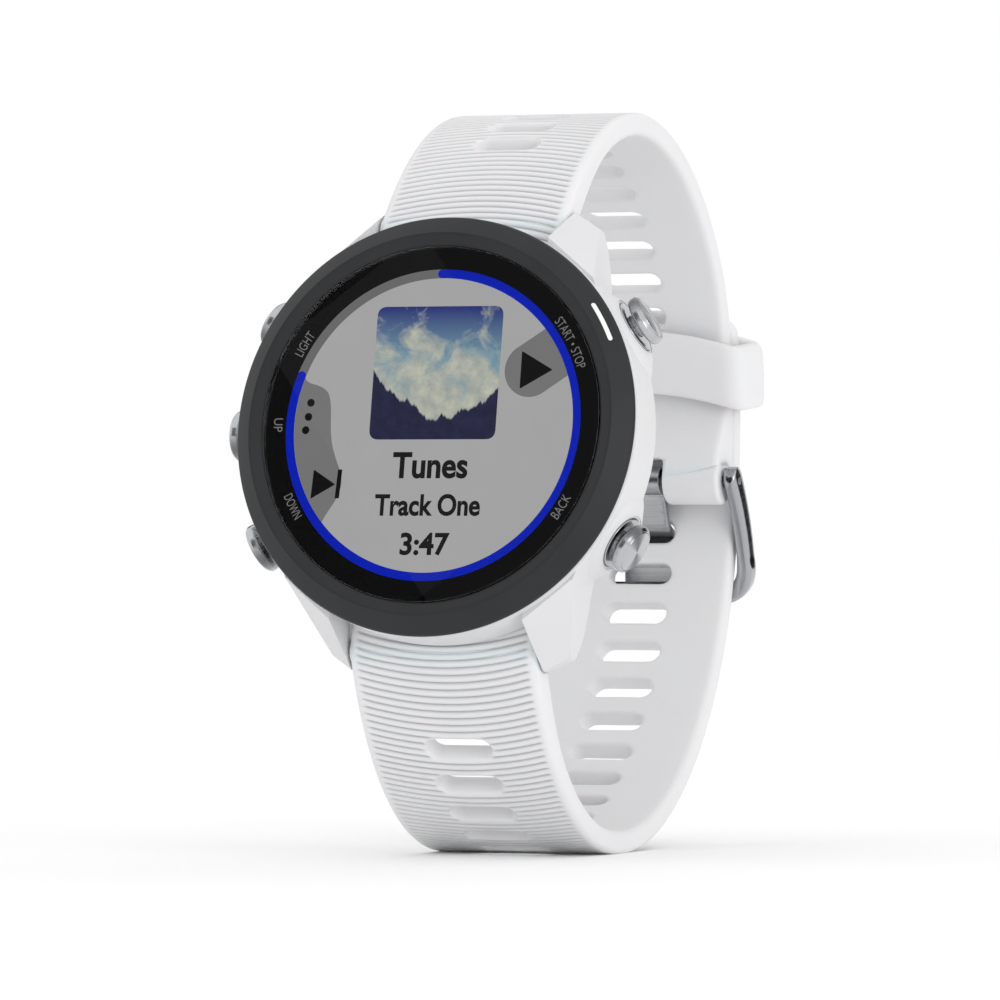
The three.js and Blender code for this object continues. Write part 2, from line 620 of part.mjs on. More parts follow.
const bushingProfile = [
  [SEAL_POCKET_R, BUSHING_IN],
  [BUSHING_R, BUSHING_IN],
  [BUSHING_R, FLANGE_IN],
  [FLANGE_R, FLANGE_IN],
  [FLANGE_R, FLANGE_OUT - 0.1],
  [FLANGE_R - 0.1, FLANGE_OUT],
  [STEM_R + SLIDE_FIT, FLANGE_OUT],
  [STEM_R + SLIDE_FIT, SEAL_POCKET_OUT],
  [SEAL_POCKET_R, SEAL_POCKET_OUT],
];
for (const [name, degrees] of Object.entries(BUTTONS)) {
  const place = new THREE.Group();
  place.applyMatrix4(buttonFrame(degrees));
  watch.add(place);
  piece(`${name}_button`, turned(buttonProfile, BUTTON_ROUND), steel(), place);
  piece(`${name}_bushing`, turned(bushingProfile, BUTTON_ROUND), polishedSteel(), place);
  const seal = ring(
    STEM_R + SLIDE_FIT,
    SEAL_POCKET_R - SLIDE_FIT,
    BUSHING_IN,
    BUSHING_IN + SEAL_LENGTH,
    SMALL_ROUND,
  );
  piece(`${name}_seal`, seal, sealRubber(), place);
  // The switch stands on the front of the board, behind the stem.
  const [alongRim, alongStem, tall] = SWITCH;
  const middle = BOARD_FRONT - SEAT - tall / 2 - BUTTON_DEPTH;
  const body = block([tall, alongStem, alongRim], middle, SWITCH_OUT - alongStem / 2, 0);
  piece(`${name}_switch`, body, darkPolymer(), place);
}

// ---- The strap's loop ----
// A point of the loop at an angle from its back, the way out of it there, and the way along it.
function loopAt(degrees, offset = 0) {
  const angle = THREE.MathUtils.degToRad(degrees);
  const reach = Math.abs(degrees) < 90 ? LOOP_BACK : LOOP_FRONT;
  const [c, s] = [Math.cos(angle), Math.sin(angle)];
  const out = new THREE.Vector2(c / reach, s / LOOP_HALF_HEIGHT).normalize();
  const point = new THREE.Vector2(LOOP_CENTRE + reach * c, LOOP_HALF_HEIGHT * s);
  return { point: point.addScaledVector(out, offset), out };
}
// From 0 where the strap is a single layer to 1 where the long strap lies fully over the short one.
const overlapShare = (degrees) => THREE.MathUtils.smoothstep(-degrees, -STEP_START, -STEP_END);
const lowerOffset = (degrees) => (degrees > 0 ? LAYER_STEP * (1 - overlapShare(degrees)) : 0);
const upperOffset = (degrees) => -LAYER_STEP * overlapShare(degrees);
const lugTaper = (degrees) => THREE.MathUtils.smoothstep(Math.abs(degrees), TAPER_END, STRAP_START);
const TAIL_TIP_START = TAIL_END - 5;
const lowerThickness = (degrees) => {
  const plain = STRAP_T + (TAIL_T - STRAP_T) * THREE.MathUtils.smoothstep(degrees, -20, STEP_END);
  const tip = 0.5 * THREE.MathUtils.smoothstep(degrees, TAIL_TIP_START, TAIL_END);
  return (plain + (STRAP_T_LUG - STRAP_T) * lugTaper(degrees)) * (1 - tip);
};
const upperThickness = (degrees) => STRAP_T + (STRAP_T_LUG - STRAP_T) * lugTaper(degrees);

const PIN = loopAt(PIN_AT, -(LAYER_STEP + BUCKLE_GAP + BUCKLE_BARREL_R)).point.toArray();
const CROSSBAR = loopAt(CROSSBAR_AT, CROSSBAR_R + BUCKLE_GAP).point.toArray();

// Places at equal steps of length along the loop's outer curve, as angles: from one angle, backwards or forwards.
function stepsAlong(start, pitch, count, direction) {
  const angles = [start];
  const walk = 0.05;
  let angle = start;
  while (angles.length < count) {
    let length = 0;
    while (length < pitch) {
      const next = angle + direction * walk;
      length += loopAt(next).point.distanceTo(loopAt(angle).point);
      angle = next;
    }
    angles.push(angle);
  }
  return angles;
}
const lowerSlots = [
  ...stepsAlong(LONG_SLOTS.first, LONG_SLOTS.pitch, LONG_SLOTS.below + 1, -1),
  ...stepsAlong(LONG_SLOTS.first, LONG_SLOTS.pitch, LONG_SLOTS.above + 1, 1).slice(1),
];
const upperSlots = stepsAlong(SHORT_SLOTS.first, SHORT_SLOTS.pitch, SHORT_SLOTS.count, -1);

// The band of a strap between two loop angles, in side view.
function band(from, to, offsetAt, thicknessAt) {
  const angles = Array.from({ length: STRAP_STEPS + 1 }, (_, i) => from + ((to - from) * i) / STRAP_STEPS);
  const outer = angles.map((a) => loopAt(a, offsetAt(a)).point.toArray());
  const inner = angles.map((a) => loopAt(a, offsetAt(a) - thicknessAt(a)).point.toArray());
  const half = STRAP_WIDTH / 2;
  return slab([...outer, ...inner.reverse()], -half, half);
}

// A frame on the loop: X across the strap, Y out of it and Z along it.
function loopFrame(degrees, offset = 0) {
  const { point, out } = loopAt(degrees, offset);
  const outwards = new THREE.Vector3(0, out.x, out.y);
  const across = new THREE.Vector3(1, 0, 0);
  return new THREE.Matrix4()
    .makeBasis(across, outwards, across.clone().cross(outwards))
    .setPosition(0, point.x, point.y);
}
const slotCut = (degrees, offset) =>
  plate(roundedRectangle(SLOT_LENGTH, SLOT_WIDTH, SLOT_WIDTH / 2 - 0.01, 2), -6, 3)
    .applyMatrix4(loopFrame(degrees, offset));

const barrelAround = (r, [depth, z]) => rod(r, -STRAP_WIDTH / 2, STRAP_WIDTH / 2, [depth, z], BUTTON_ROUND);
const boreAlong = (r, [depth, z]) => rod(r, -STRAP_WIDTH, STRAP_WIDTH, [depth, z]);

// The window in the strap end through which a thumb reaches the quick-release lever.
const LEVER_X = 6.3;
const leverWindow = (sz) =>
  block(
    [RELEASE_LEVER[0] + RELEASE_TRAVEL + 6 * SEAT, 6, RELEASE_LEVER[2] + 8 * SEAT],
    LEVER_X - RELEASE_TRAVEL / 2,
    BAR_DEPTH + 3,
    sz * BAR_Z,
  );

// The flat under the loop is level when the watch leans back by LEAN.
function standPlane() {
  const lowest = Math.min(
    ...Array.from({ length: 181 }, (_, i) => {
      const { point } = loopAt(-i);
      return point.y * Math.cos(LEAN) - point.x * Math.sin(LEAN);
    }),
  );
  return new THREE.BoxGeometry(60, 120, 20)
    .translate(0, LOOP_CENTRE, lowest + STAND_FLAT - 10)
    .applyMatrix4(new THREE.Matrix4().makeRotationX(LEAN));
}

function tailCorners() {
  const half = STRAP_WIDTH / 2;
  return [1, -1].map((sx) =>
    plate([
      [sx * (half + 1), -TAIL_TIP_LENGTH - 0.6],
      [sx * half, -TAIL_TIP_LENGTH],
      [sx * (half - TAIL_CORNER * 0.35), -TAIL_TIP_LENGTH * 0.35],
      [sx * (half - TAIL_CORNER), 0],
      [sx * (half - TAIL_CORNER), 2],
      [sx * (half + 1), 2],
    ], -4, 3).applyMatrix4(loopFrame(TAIL_END, lowerOffset(TAIL_END))),
  );
}

const strapLower = cut(
  joined(
    band(-STRAP_START, TAIL_END, lowerOffset, lowerThickness),
    barrelAround(BARREL_R, [BAR_DEPTH, -BAR_Z]),
  ),
  ...lowerSlots.map((angle) => slotCut(angle, lowerOffset(angle))),
  ...tailCorners(),
  boreAlong(BAR_R + SLIDE_FIT, [BAR_DEPTH, -BAR_Z]),
  leverWindow(-1),
  standPlane(),
);
piece("strap_lower", strapLower, silicone());

const NOTCH_TOP = PIN[1] + 1.9;
const tangNotch = block([NOTCH_WIDTH, 16, 8], 0, PIN[0], NOTCH_TOP - 4);
const strapUpper = cut(
  joined(
    band(STEP_END + 0.5, STRAP_START, upperOffset, upperThickness),
    barrelAround(BARREL_R, [BAR_DEPTH, BAR_Z]),
    barrelAround(BUCKLE_BARREL_R, PIN),
  ),
  ...upperSlots.map((angle) => slotCut(angle, upperOffset(angle))),
  tangNotch,
  boreAlong(BAR_R + SLIDE_FIT, [BAR_DEPTH, BAR_Z]),
  boreAlong(PIN_R + SLIDE_FIT, PIN),
  leverWindow(1),
);
piece("strap_upper", strapUpper, silicone());

// ---- Spring bars and their quick-release pins ----
// The bar is a tube with one tip fixed and the other sliding in its bore, drawn back by the lever.
const BAR_END = STRAP_WIDTH / 2 + LUG_GAP / 2;
const TIP_END = LUG_IN + BAR_TIP_LENGTH;
const RELEASE_IN = LEVER_X - RELEASE_LEVER[0] / 2 - 0.4;
function springBar(sz) {
  const axis = [BAR_DEPTH, sz * BAR_Z];
  const tube = rod(BAR_R, -BAR_END, BAR_END, axis);
  const fixedTip = rod(BAR_TIP_R, -TIP_END, -BAR_END + 1, axis, 12);
  const bore = rod(BAR_TIP_R + SLIDE_FIT, RELEASE_IN - RELEASE_TRAVEL - SEAT, BAR_END + 1, axis, 12);
  const leverSlot = block(
    [RELEASE_LEVER[0] + RELEASE_TRAVEL + 2 * SEAT, 2, RELEASE_LEVER[2] * 0.7 + 2 * SEAT],
    LEVER_X - RELEASE_TRAVEL / 2,
    BAR_DEPTH + 1,
    sz * BAR_Z,
  );
  return cut(joined(tube, fixedTip), bore, leverSlot);
}
function releasePin(sz) {
  const axis = [BAR_DEPTH, sz * BAR_Z];
  const [length, reach, height] = RELEASE_LEVER;
  return joined(
    rod(BAR_TIP_R, RELEASE_IN, TIP_END, axis, 12),
    block([length, reach, height * 0.7], LEVER_X, BAR_DEPTH + reach / 2, sz * BAR_Z),
  );
}
for (const [name, sz] of Object.entries({ upper: 1, lower: -1 })) {
  piece(`spring_bar_${name}`, springBar(sz), steel());
  piece(`release_pin_${name}`, releasePin(sz), steel());
}

// ---- Buckle: frame, pin and tang ----
// An arm's side view: a spine from the pin to the crossbar, bowed outwards, with its width on each side.
function armOutline() {
  const [start, end] = [new THREE.Vector2(...PIN), new THREE.Vector2(...CROSSBAR)];
  const bow = new THREE.Vector2(1.1, 1.3);
  const spine = new THREE.QuadraticBezierCurve(start, start.clone().lerp(end, 0.5).add(bow), end);
  const steps = 8;
  const side = (sign) =>
    Array.from({ length: steps + 1 }, (_, i) => {
      const at = spine.getPoint(i / steps);
      const along = spine.getTangent(i / steps);
      const half = THREE.MathUtils.lerp(ARM_HINGE_R, CROSSBAR_R, i / steps);
      return [at.x - sign * along.y * half, at.y + sign * along.x * half];
    });
  return [...side(1), ...side(-1).reverse()];
}
// The tang in side view: an eye round the pin, down inside the strap, out through its slot, on to the crossbar.
function tangOutline() {
  const slotPoint = loopAt(LONG_SLOTS.first, -STRAP_T / 2);
  const [slotDepth, slotZ] = slotPoint.point.toArray();
  const insideDepth = slotDepth - STRAP_T / 2 - 0.55 - TANG_T / 2;
  const outsideDepth = slotDepth + STRAP_T / 2 + 0.15 + TANG_T / 2;
  const spine = [
    [PIN[0] + 0.3, PIN[1] - 0.4],
    [insideDepth, slotZ + 1.35],
    [insideDepth + 0.75, slotZ + 0.25],
    [outsideDepth - 0.2, slotZ - 0.15],
    [CROSSBAR[0] + 0.7, CROSSBAR[1] + 2.2],
    [CROSSBAR[0] + 1.0, CROSSBAR[1] + 0.4],
    [CROSSBAR[0] + 0.95, CROSSBAR[1] - 0.75],
  ].map(([depth, z]) => new THREE.Vector2(depth, z));
  const side = (sign) =>
    spine.map((at, i) => {
      const before = spine[Math.max(i - 1, 0)];
      const after = spine[Math.min(i + 1, spine.length - 1)];
      const along = after.clone().sub(before).normalize();
      const half = (TANG_T / 2) * (i === spine.length - 1 ? 0.7 : 1);
      return [at.x - sign * along.y * half, at.y + sign * along.x * half];
    });
  return [...side(1), ...side(-1).reverse()];
}
const halfTang = TANG_WIDTH / 2;
const tang = cut(
  joined(slab(tangOutline(), -halfTang, halfTang), rod(TANG_EYE_R, -halfTang, halfTang, PIN)),
  boreAlong(PIN_R + SLIDE_FIT, PIN),
);
piece("tang", tang, polishedSteel());

function buckleFrame() {
  const armOut = ARM_IN + ARM_T;
  const arms = [1, -1].flatMap((sx) => {
    const [from, to] = sx > 0 ? [ARM_IN, armOut] : [-armOut, -ARM_IN];
    return [slab(armOutline(), from, to), rod(ARM_HINGE_R, from, to, PIN)];
  });
  const bar = rod(CROSSBAR_R, -armOut, armOut, CROSSBAR);
  const seat = block(
    [TANG_WIDTH + 4 * SEAT, 4, 6],
    0,
    CROSSBAR[0] + CROSSBAR_R - TANG_NOTCH + 2,
    CROSSBAR[1],
  );
  return cut(joined(bar, ...arms), boreAlong(PIN_R + SLIDE_FIT, PIN), seat);
}
piece("buckle_frame", buckleFrame(), polishedSteel());
piece("buckle_pin", rod(PIN_R, -ARM_IN - ARM_T, ARM_IN + ARM_T, PIN), steel());

// ---- Keeper: the loop that holds the tail down ----
function keeper() {
    const stack = LAYER_STEP + STRAP_T;
  const [innerWidth, innerHeight] = [STRAP_WIDTH + 8 * SEAT, stack + 7 * SEAT];
  const outline = roundedRectangle(innerWidth + 2 * KEEPER_SIDE, innerHeight + 2 * KEEPER_WALL, 1.8);
  const hole = roundedRectangle(innerWidth, innerHeight, 0.8);
  const half = KEEPER_LENGTH / 2;
  const [before, after] = [KEEPER_AT - 2, KEEPER_AT + 2].map((a) => loopAt(a, lowerOffset(a)).point);
  const along = after.sub(before).normalize();
  const here = loopAt(KEEPER_AT, lowerOffset(KEEPER_AT)).point;
  const out = new THREE.Vector2(along.y, -along.x);
  const centre = here.addScaledVector(out, -stack / 2);
  const across = new THREE.Vector3(1, 0, 0);
  const outwards = new THREE.Vector3(0, out.x, out.y);
  const place = new THREE.Matrix4()
    .makeBasis(across, outwards, across.clone().cross(outwards))
    .setPosition(0, centre.x, centre.y);
  return cut(plateAlong(outline, half), plateAlong(hole, half + 1)).applyMatrix4(place);
}
// An outline across the strap, [x, out] points, given a length along it.
function plateAlong(outline, half) {
  const shape = new THREE.Shape(outline.map(([x, out]) => new THREE.Vector2(x, out)));
  return new THREE.ExtrudeGeometry(shape, { depth: 2 * half, bevelEnabled: false }).translate(0, 0, -half);
}
piece("keeper", keeper(), silicone());

// ---- Origin: the middle of the underside of the whole watch's box ----
watch.updateMatrixWorld(true);
const box = new THREE.Box3().setFromObject(watch, true);
const middle = box.getCenter(new THREE.Vector3());
watch.position.set(-middle.x, -middle.y, -box.min.z);
const part = new THREE.Group();
part.add(watch);

export default part;
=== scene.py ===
import json
import math

import bmesh
import bpy
import numpy as np
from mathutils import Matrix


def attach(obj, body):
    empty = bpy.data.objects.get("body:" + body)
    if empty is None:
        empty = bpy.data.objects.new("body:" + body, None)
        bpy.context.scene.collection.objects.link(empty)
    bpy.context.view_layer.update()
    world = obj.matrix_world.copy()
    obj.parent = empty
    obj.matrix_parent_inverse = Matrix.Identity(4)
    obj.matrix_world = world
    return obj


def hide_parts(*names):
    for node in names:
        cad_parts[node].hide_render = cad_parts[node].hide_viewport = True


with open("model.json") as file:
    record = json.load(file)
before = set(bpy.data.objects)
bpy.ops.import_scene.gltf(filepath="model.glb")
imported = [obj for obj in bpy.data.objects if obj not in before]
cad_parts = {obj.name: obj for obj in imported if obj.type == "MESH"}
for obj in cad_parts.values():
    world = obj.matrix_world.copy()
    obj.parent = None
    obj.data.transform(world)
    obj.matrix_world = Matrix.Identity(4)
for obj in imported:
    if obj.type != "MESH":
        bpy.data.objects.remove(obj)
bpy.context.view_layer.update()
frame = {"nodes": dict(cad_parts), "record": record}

# ---- Where the watch stands, and the camera ----
# The watch has its own directions: x to 3 o'clock, depth into the watch, and up to 12 o'clock, in millimetres
# from the middle of the front of the glass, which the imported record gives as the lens_face mount. It leans
# back on its buckled strap, and the camera looks level at it with a long lens, from a little to its right.
scene = bpy.context.scene
lens_face = next(m for m in frame["record"]["mounts"] if m["name"] == "lens_face")
GLASS_FRONT = np.array(lens_face["pos_m"])
INTO_WATCH = -np.array(lens_face["axis"])
TO_TWELVE = np.array([0.0, -INTO_WATCH[2], INTO_WATCH[1]])
WATCH_AXES = np.array([[1.0, 0.0, 0.0], INTO_WATCH, TO_TWELVE])


def in_metres(points):
    """Where points of the watch are in the frame: x, depth and up along the watch's axes, from the glass'
    front."""
    return GLASS_FRONT + np.asarray(points, float) @ WATCH_AXES / 1000


CAMERA_TURN = math.radians(21.6)
CAMERA_DISTANCE = 0.7897
CAMERA_RIGHT = 0.00698
CAMERA_DROP = 0.00757
sideways = np.array([math.cos(CAMERA_TURN), math.sin(CAMERA_TURN), 0])
ahead = np.array([-math.sin(CAMERA_TURN), math.cos(CAMERA_TURN), 0])
camera = bpy.data.objects.new("camera", bpy.data.cameras.new("camera"))
camera.data.lens = 288
camera.data.sensor_width = 36
camera.location = GLASS_FRONT + CAMERA_RIGHT * sideways - CAMERA_DISTANCE * ahead - [0, 0, CAMERA_DROP]
camera.rotation_euler = (math.radians(90), 0, CAMERA_TURN)
scene.collection.objects.link(camera)
scene.camera = camera


# ---- Floor and studio light ----
# A white seamless floor in a white room, lit by the room and by one soft box at the right. Black, dark and
# grey cards and one pale one stand where only reflections see them, and give the glass and the steel their
# shape.
WATCH_MIDDLE = np.array([0, 0, 0.04])


def linear(hex_colour):
    """The linear colour of an sRGB hex value: each channel to the power that the sRGB curve gives it."""
    value = np.array([int(hex_colour[i:i + 2], 16) for i in (1, 3, 5)]) / 255
    channels = np.where(value <= 0.04045, value / 12.92, ((value + 0.055) / 1.055) ** 2.4)
    return (*channels, 1)


def add(tree, kind, inputs=(), **settings):
    """Adds a shader node with its settings: an input that is a socket is linked, and any other is a value."""
    made = tree.nodes.new("ShaderNode" + kind)
    for key, value in settings.items():
        setattr(made, key, value)
    for key, value in dict(inputs).items():
        if isinstance(value, bpy.types.NodeSocket):
            tree.links.new(value, made.inputs[key])
        else:
            made.inputs[key].default_value = value
    return made


def finish_of(name, **constants):
    """A material with a Principled shader whose named constants are set, as its material, tree and shader."""
    material = bpy.data.materials.new(name)
    material.use_nodes = True
    shader = material.node_tree.nodes["Principled BSDF"]
    for key, value in constants.items():
        shader.inputs[key.replace("_", " ")].default_value = value
    return material, material.node_tree, shader


def panel(name, centre, facing, width, height, colour, strength=0.0, tilt=0.0):
    """A flat card of the studio that faces a point, seen only in reflections: its corners are half its width
    and height along two directions square to the line between them, turned by its tilt."""
    centre, facing = np.array(centre), np.array(facing)
    outward = (facing - centre) / np.linalg.norm(facing - centre)
    level = np.cross(outward, [0, 0, 1])
    level /= np.linalg.norm(level)
    upright = np.cross(level, outward)
    wide = math.cos(tilt) * level + math.sin(tilt) * upright
    high = math.cos(tilt) * upright - math.sin(tilt) * level
    corners = [centre + a * wide * width / 2 + b * high * height / 2
               for a, b in ((-1, -1), (1, -1), (1, 1), (-1, 1))]
    mesh = bpy.data.meshes.new(name)
    mesh.from_pydata([tuple(c) for c in corners], [], [(0, 1, 2, 3)])
    card = bpy.data.objects.new(name, mesh)
    material, _, shader = finish_of(name + "_card", Roughness=1.0)
    shader.inputs["Base Color"].default_value = (0, 0, 0, 1)
    shader.inputs["Specular IOR Level"].default_value = 0
    shader.inputs["Emission Color"].default_value = linear(colour)
    shader.inputs["Emission Strength"].default_value = strength
    mesh.materials.append(material)
    card.visible_camera = card.visible_diffuse = card.visible_shadow = False
    scene.collection.objects.link(card)


floor_mesh = bpy.data.meshes.new("studio_floor")
floor_mesh.from_pydata([(-6, -6, 0), (6, -6, 0), (6, 6, 0), (-6, 6, 0)], [], [(0, 1, 2, 3)])
floor = bpy.data.objects.new("studio_floor", floor_mesh)
floor_paint, _, floor_shader = finish_of("floor_paint", Roughness=0.9)
floor_shader.inputs["Base Color"].default_value = linear("#FFFFFF")
floor_shader.inputs["Specular IOR Level"].default_value = 0
floor_mesh.materials.append(floor_paint)
scene.collection.objects.link(floor)

world = bpy.data.worlds.new("white_room")
world.use_nodes = True
world.node_tree.nodes["Background"].inputs["Color"].default_value = (1, 1, 1, 1)
world.node_tree.nodes["Background"].inputs["Strength"].default_value = 1.0
scene.world = world
scene.view_settings.view_transform = "Standard"


def soft_box(name, place, size, power):
    """A square area light that faces the watch."""
    lamp = bpy.data.objects.new(name, bpy.data.lights.new(name, "AREA"))
    lamp.data.size = size
    lamp.data.energy = power
    lamp.location = place
    towards = WATCH_MIDDLE - place
    lean = math.atan2(math.hypot(towards[0], towards[1]), -towards[2])
    lamp.rotation_euler = (lean, 0, math.atan2(towards[1], towards[0]) - math.pi / 2)
    scene.collection.objects.link(lamp)


soft_box("key_soft_box", np.array([0.9, -0.55, 0.16]), 0.5, 2.3)

# The direction in which the glass mirrors the camera.
glass_normal = -INTO_WATCH
MIRRORED = ahead - 2 * (ahead @ glass_normal) * glass_normal
PANEL_DISTANCE = 0.55
panel_centre = GLASS_FRONT + PANEL_DISTANCE * MIRRORED
panel("glass_flag", panel_centre, GLASS_FRONT, 0.34, 0.34, "#000000")
GLARE_TILT = math.radians(41)
GLARE_STRENGTH = 0.14
glare_centre = panel_centre - 0.02 * MIRRORED + np.array([0.069, -0.033, -0.051])
panel("glare_card", glare_centre, GLASS_FRONT, 0.14, 0.36, "#FFFFFF", GLARE_STRENGTH, GLARE_TILT)
panel("rear_flag_left", (-0.42, 0.86, 0.24), WATCH_MIDDLE, 0.62, 0.7, "#161617", 1.0)
panel("rear_flag_right", (0.52, 0.80, 0.24), WATCH_MIDDLE, 0.62, 0.7, "#161617", 1.0)
panel("front_flag", (0.35, -0.75, 0.10), WATCH_MIDDLE, 0.5, 0.12, "#4A4A4C", 1.0)


# ---- Bezel ----
# A ring of glass-fibre-filled polyamide, moulded dark grey with a fine spark-eroded texture. It slopes in to
# the glass and out to the rim from a narrow ridge, and is glued on the case.
def grid_faces(rows, columns):
    """Four-cornered faces between neighbours of a rows by columns grid of points, numbered row by row."""
    i, j = np.arange(rows - 1)[:, None] * columns, np.arange(columns - 1)[None, :]
    return np.stack([i + j, i + columns + j, i + columns + j + 1, i + j + 1], -1).reshape(-1, 4)


def grid_shape(points, spread=(1.0, 1.0)):
    """A surface over a grid of points: the points as a list, the faces, and a UV that runs 0 to spread along
    it."""
    rows, columns = points.shape[:2]
    v, u = np.meshgrid(np.linspace(0, spread[0], rows), np.linspace(0, spread[1], columns), indexing="ij")
    return points.reshape(-1, 3), grid_faces(rows, columns), np.stack([u, v], -1).reshape(-1, 2)


def rounded(corners, closed=True, steps=6):
    """An outline of corners (a, b, radius): a parabola that starts and ends its radius away replaces each
    corner."""
    corners = np.array(corners, float)
    at, radius = corners[..., :2], corners[..., 2:]
    before, after = np.roll(at, 1, -2), np.roll(at, -1, -2)

    def part_way(to):
        return at + (to - at) / np.maximum(np.linalg.norm(to - at, axis=-1, keepdims=True), 1e-9) * radius

    t = np.linspace(0, 1, steps)[:, None]
    start, middle, end = part_way(before)[..., None, :], at[..., None, :], part_way(after)[..., None, :]
    line = (1 - t) ** 2 * start + 2 * t * (1 - t) * middle + t**2 * end
    line = line.reshape(*at.shape[:-2], -1, 2)
    return np.concatenate([line, line[..., :1, :]], -2) if closed else line


def turned(profile, origin=(0, 0, 0), axis=(0, 1, 0), sides=192):
    """A profile of (radius, distance along the axis) points turned once round an axis through the origin:
    each point moves on the circle of its radius, radius times (cos a, sin a) across the axis."""
    axis = np.array(axis, float)
    first = np.array([1.0, 0, 0]) if abs(axis[0]) < 0.5 and abs(axis[1]) > 0.5 else np.array([0, 1.0, 0])
    second = np.cross(first, axis)
    angle = np.linspace(0, 2 * np.pi, sides + 1)[None, :, None]
    r, along = np.array(profile, float).T[..., None, None]
    ring = np.cos(angle) * first + np.sin(angle) * second
    length = np.linalg.norm(np.diff(profile, axis=0), axis=1).sum()
    return grid_shape(np.array(origin) + along * axis + r * ring, (length, 1.0))


def made_piece(name, shapes, finish, body, stands_for=(), crease=34):
    """One object of closed surfaces that rides on a body. Doubled points merge, faces turn outwards, and
    edges sharper than the crease angle stay sharp."""
    counts = np.cumsum([0] + [len(s[0]) for s in shapes[:-1]])
    points = in_metres(np.concatenate([s[0] for s in shapes]))
    faces = np.concatenate([s[1] + c for s, c in zip(shapes, counts)])
    mesh = bpy.data.meshes.new(name)
    mesh.from_pydata(points.tolist(), [], faces.tolist())
    uv = np.concatenate([s[2] if len(s) > 2 else np.zeros((len(s[0]), 2)) for s in shapes])
    mesh.uv_layers.new(name="UVMap").data.foreach_set("uv", uv[faces.reshape(-1)].reshape(-1))
    tidy = bmesh.new()
    tidy.from_mesh(mesh)
    bmesh.ops.remove_doubles(tidy, verts=tidy.verts, dist=2e-6)
    bmesh.ops.dissolve_degenerate(tidy, edges=tidy.edges, dist=1e-7)
    bmesh.ops.recalc_face_normals(tidy, faces=tidy.faces)
    tidy.to_mesh(mesh)
    tidy.free()
    return shown(name, mesh, finish, body, stands_for, crease)


def shown(name, mesh, finish, body, stands_for=(), crease=34):
    """Puts a finished mesh in the scene on its body, with smooth faces and its finish."""
    mesh.shade_smooth()
    mesh.set_sharp_from_angle(angle=math.radians(crease))
    mesh.materials.clear()
    mesh.materials.append(finish)
    piece = bpy.data.objects.new(name, mesh)
    scene.collection.objects.link(piece)
    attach(piece, body)
    if stands_for:
        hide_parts(*stands_for)
    return piece


def moulded(name, colour, worn_colour, roughness, grain_mm, depth_mm, **constants):
    """A moulded finish: fine grain of a given size and depth in the surface, which also varies its gloss, and
    a cloudy drift of tone over several millimetres."""
    material, tree, shader = finish_of(name, **constants)
    place = add(tree, "TexCoord").outputs["Object"]
    fine = add(tree, "TexNoise", {"Vector": place, "Scale": 1000 / grain_mm, "Detail": 3})
    cloudy = add(tree, "TexNoise", {"Vector": place, "Scale": 1000 / (grain_mm * 40), "Detail": 2})
    tone = add(tree, "Mix", {"Factor": cloudy.outputs["Fac"], "A": linear(colour), "B": linear(worn_colour)},
               data_type="RGBA")
    gloss = add(tree, "MapRange", {"Value": fine.outputs["Fac"], "To Min": roughness - 0.05,
                                   "To Max": roughness + 0.07})
    relief = add(tree, "Bump", {"Height": fine.outputs["Fac"], "Strength": 0.6, "Distance": depth_mm / 1000})
    tree.links.new(tone.outputs["Result"], shader.inputs["Base Color"])
    tree.links.new(gloss.outputs["Result"], shader.inputs["Roughness"])
    tree.links.new(relief.outputs["Normal"], shader.inputs["Normal"])
    return material


# Polyamide with glass fibre: a matt slate surface whose 0.12 mm grain breaks up the light.
bezel_polyamide = moulded("bezel_polyamide", "#222325", "#292A2C", 0.5, 0.12, 0.012, IOR=1.45,
                           Specular_IOR_Level=0.35)
CASE_R = 21.15
OPENING_R = 17.95
bezel_profile = rounded([
    (OPENING_R, 0.15, 0.1), (19.12, -0.25, 0.07), (19.28, -0.25, 0.07), (21.0, 1.1, 0.12), (CASE_R, 1.42, 0.1),
    (21.05, 1.8, 0.1), (16.9, 1.8, 0.1), (16.9, 1.4, 0.05), (OPENING_R, 1.4, 0.05),
])
made_piece("bezel_ring", [turned(bezel_profile, sides=256)], bezel_polyamide, "watch", ["bezel"])

# The white start mark is pad-printed in a shallow groove of the bezel's outer slope, beside the start button.
START_ANGLE = 30.5
MARK_R = 20.2
mark_print = moulded("white_print", "#F2F2F0", "#E9E9E7", 0.45, 0.1, 0.004)
MARK_HALF_LONG, MARK_HALF_WIDE = 2.2, 0.21
mark_place = np.linspace(-1, 1, 41) * MARK_HALF_LONG
mark_angle = np.radians(START_ANGLE) + mark_place / MARK_R
from_end = MARK_HALF_LONG - np.abs(mark_place)
mark_half = MARK_HALF_WIDE * np.sqrt(np.clip(1 - (1 - np.minimum(from_end / MARK_HALF_WIDE, 1)) ** 2, 0, 1))
around = np.array([(-1, 0.0), (-0.8, -0.05), (0.8, -0.05), (1, 0.0), (1, 0.4), (-1, 0.4), (-1, 0.0)])
mark_r = MARK_R + mark_half[:, None] * around[None, :, 0]
mark_depth = -0.25 + (mark_r - 19.2) * 0.75 + around[None, :, 1]
mark_points = np.stack([mark_r * np.cos(mark_angle)[:, None], mark_depth,
                        mark_r * np.sin(mark_angle)[:, None]], -1)
made_piece("start_mark", [grid_shape(mark_points)], mark_print, "watch", ["bezel_mark"])


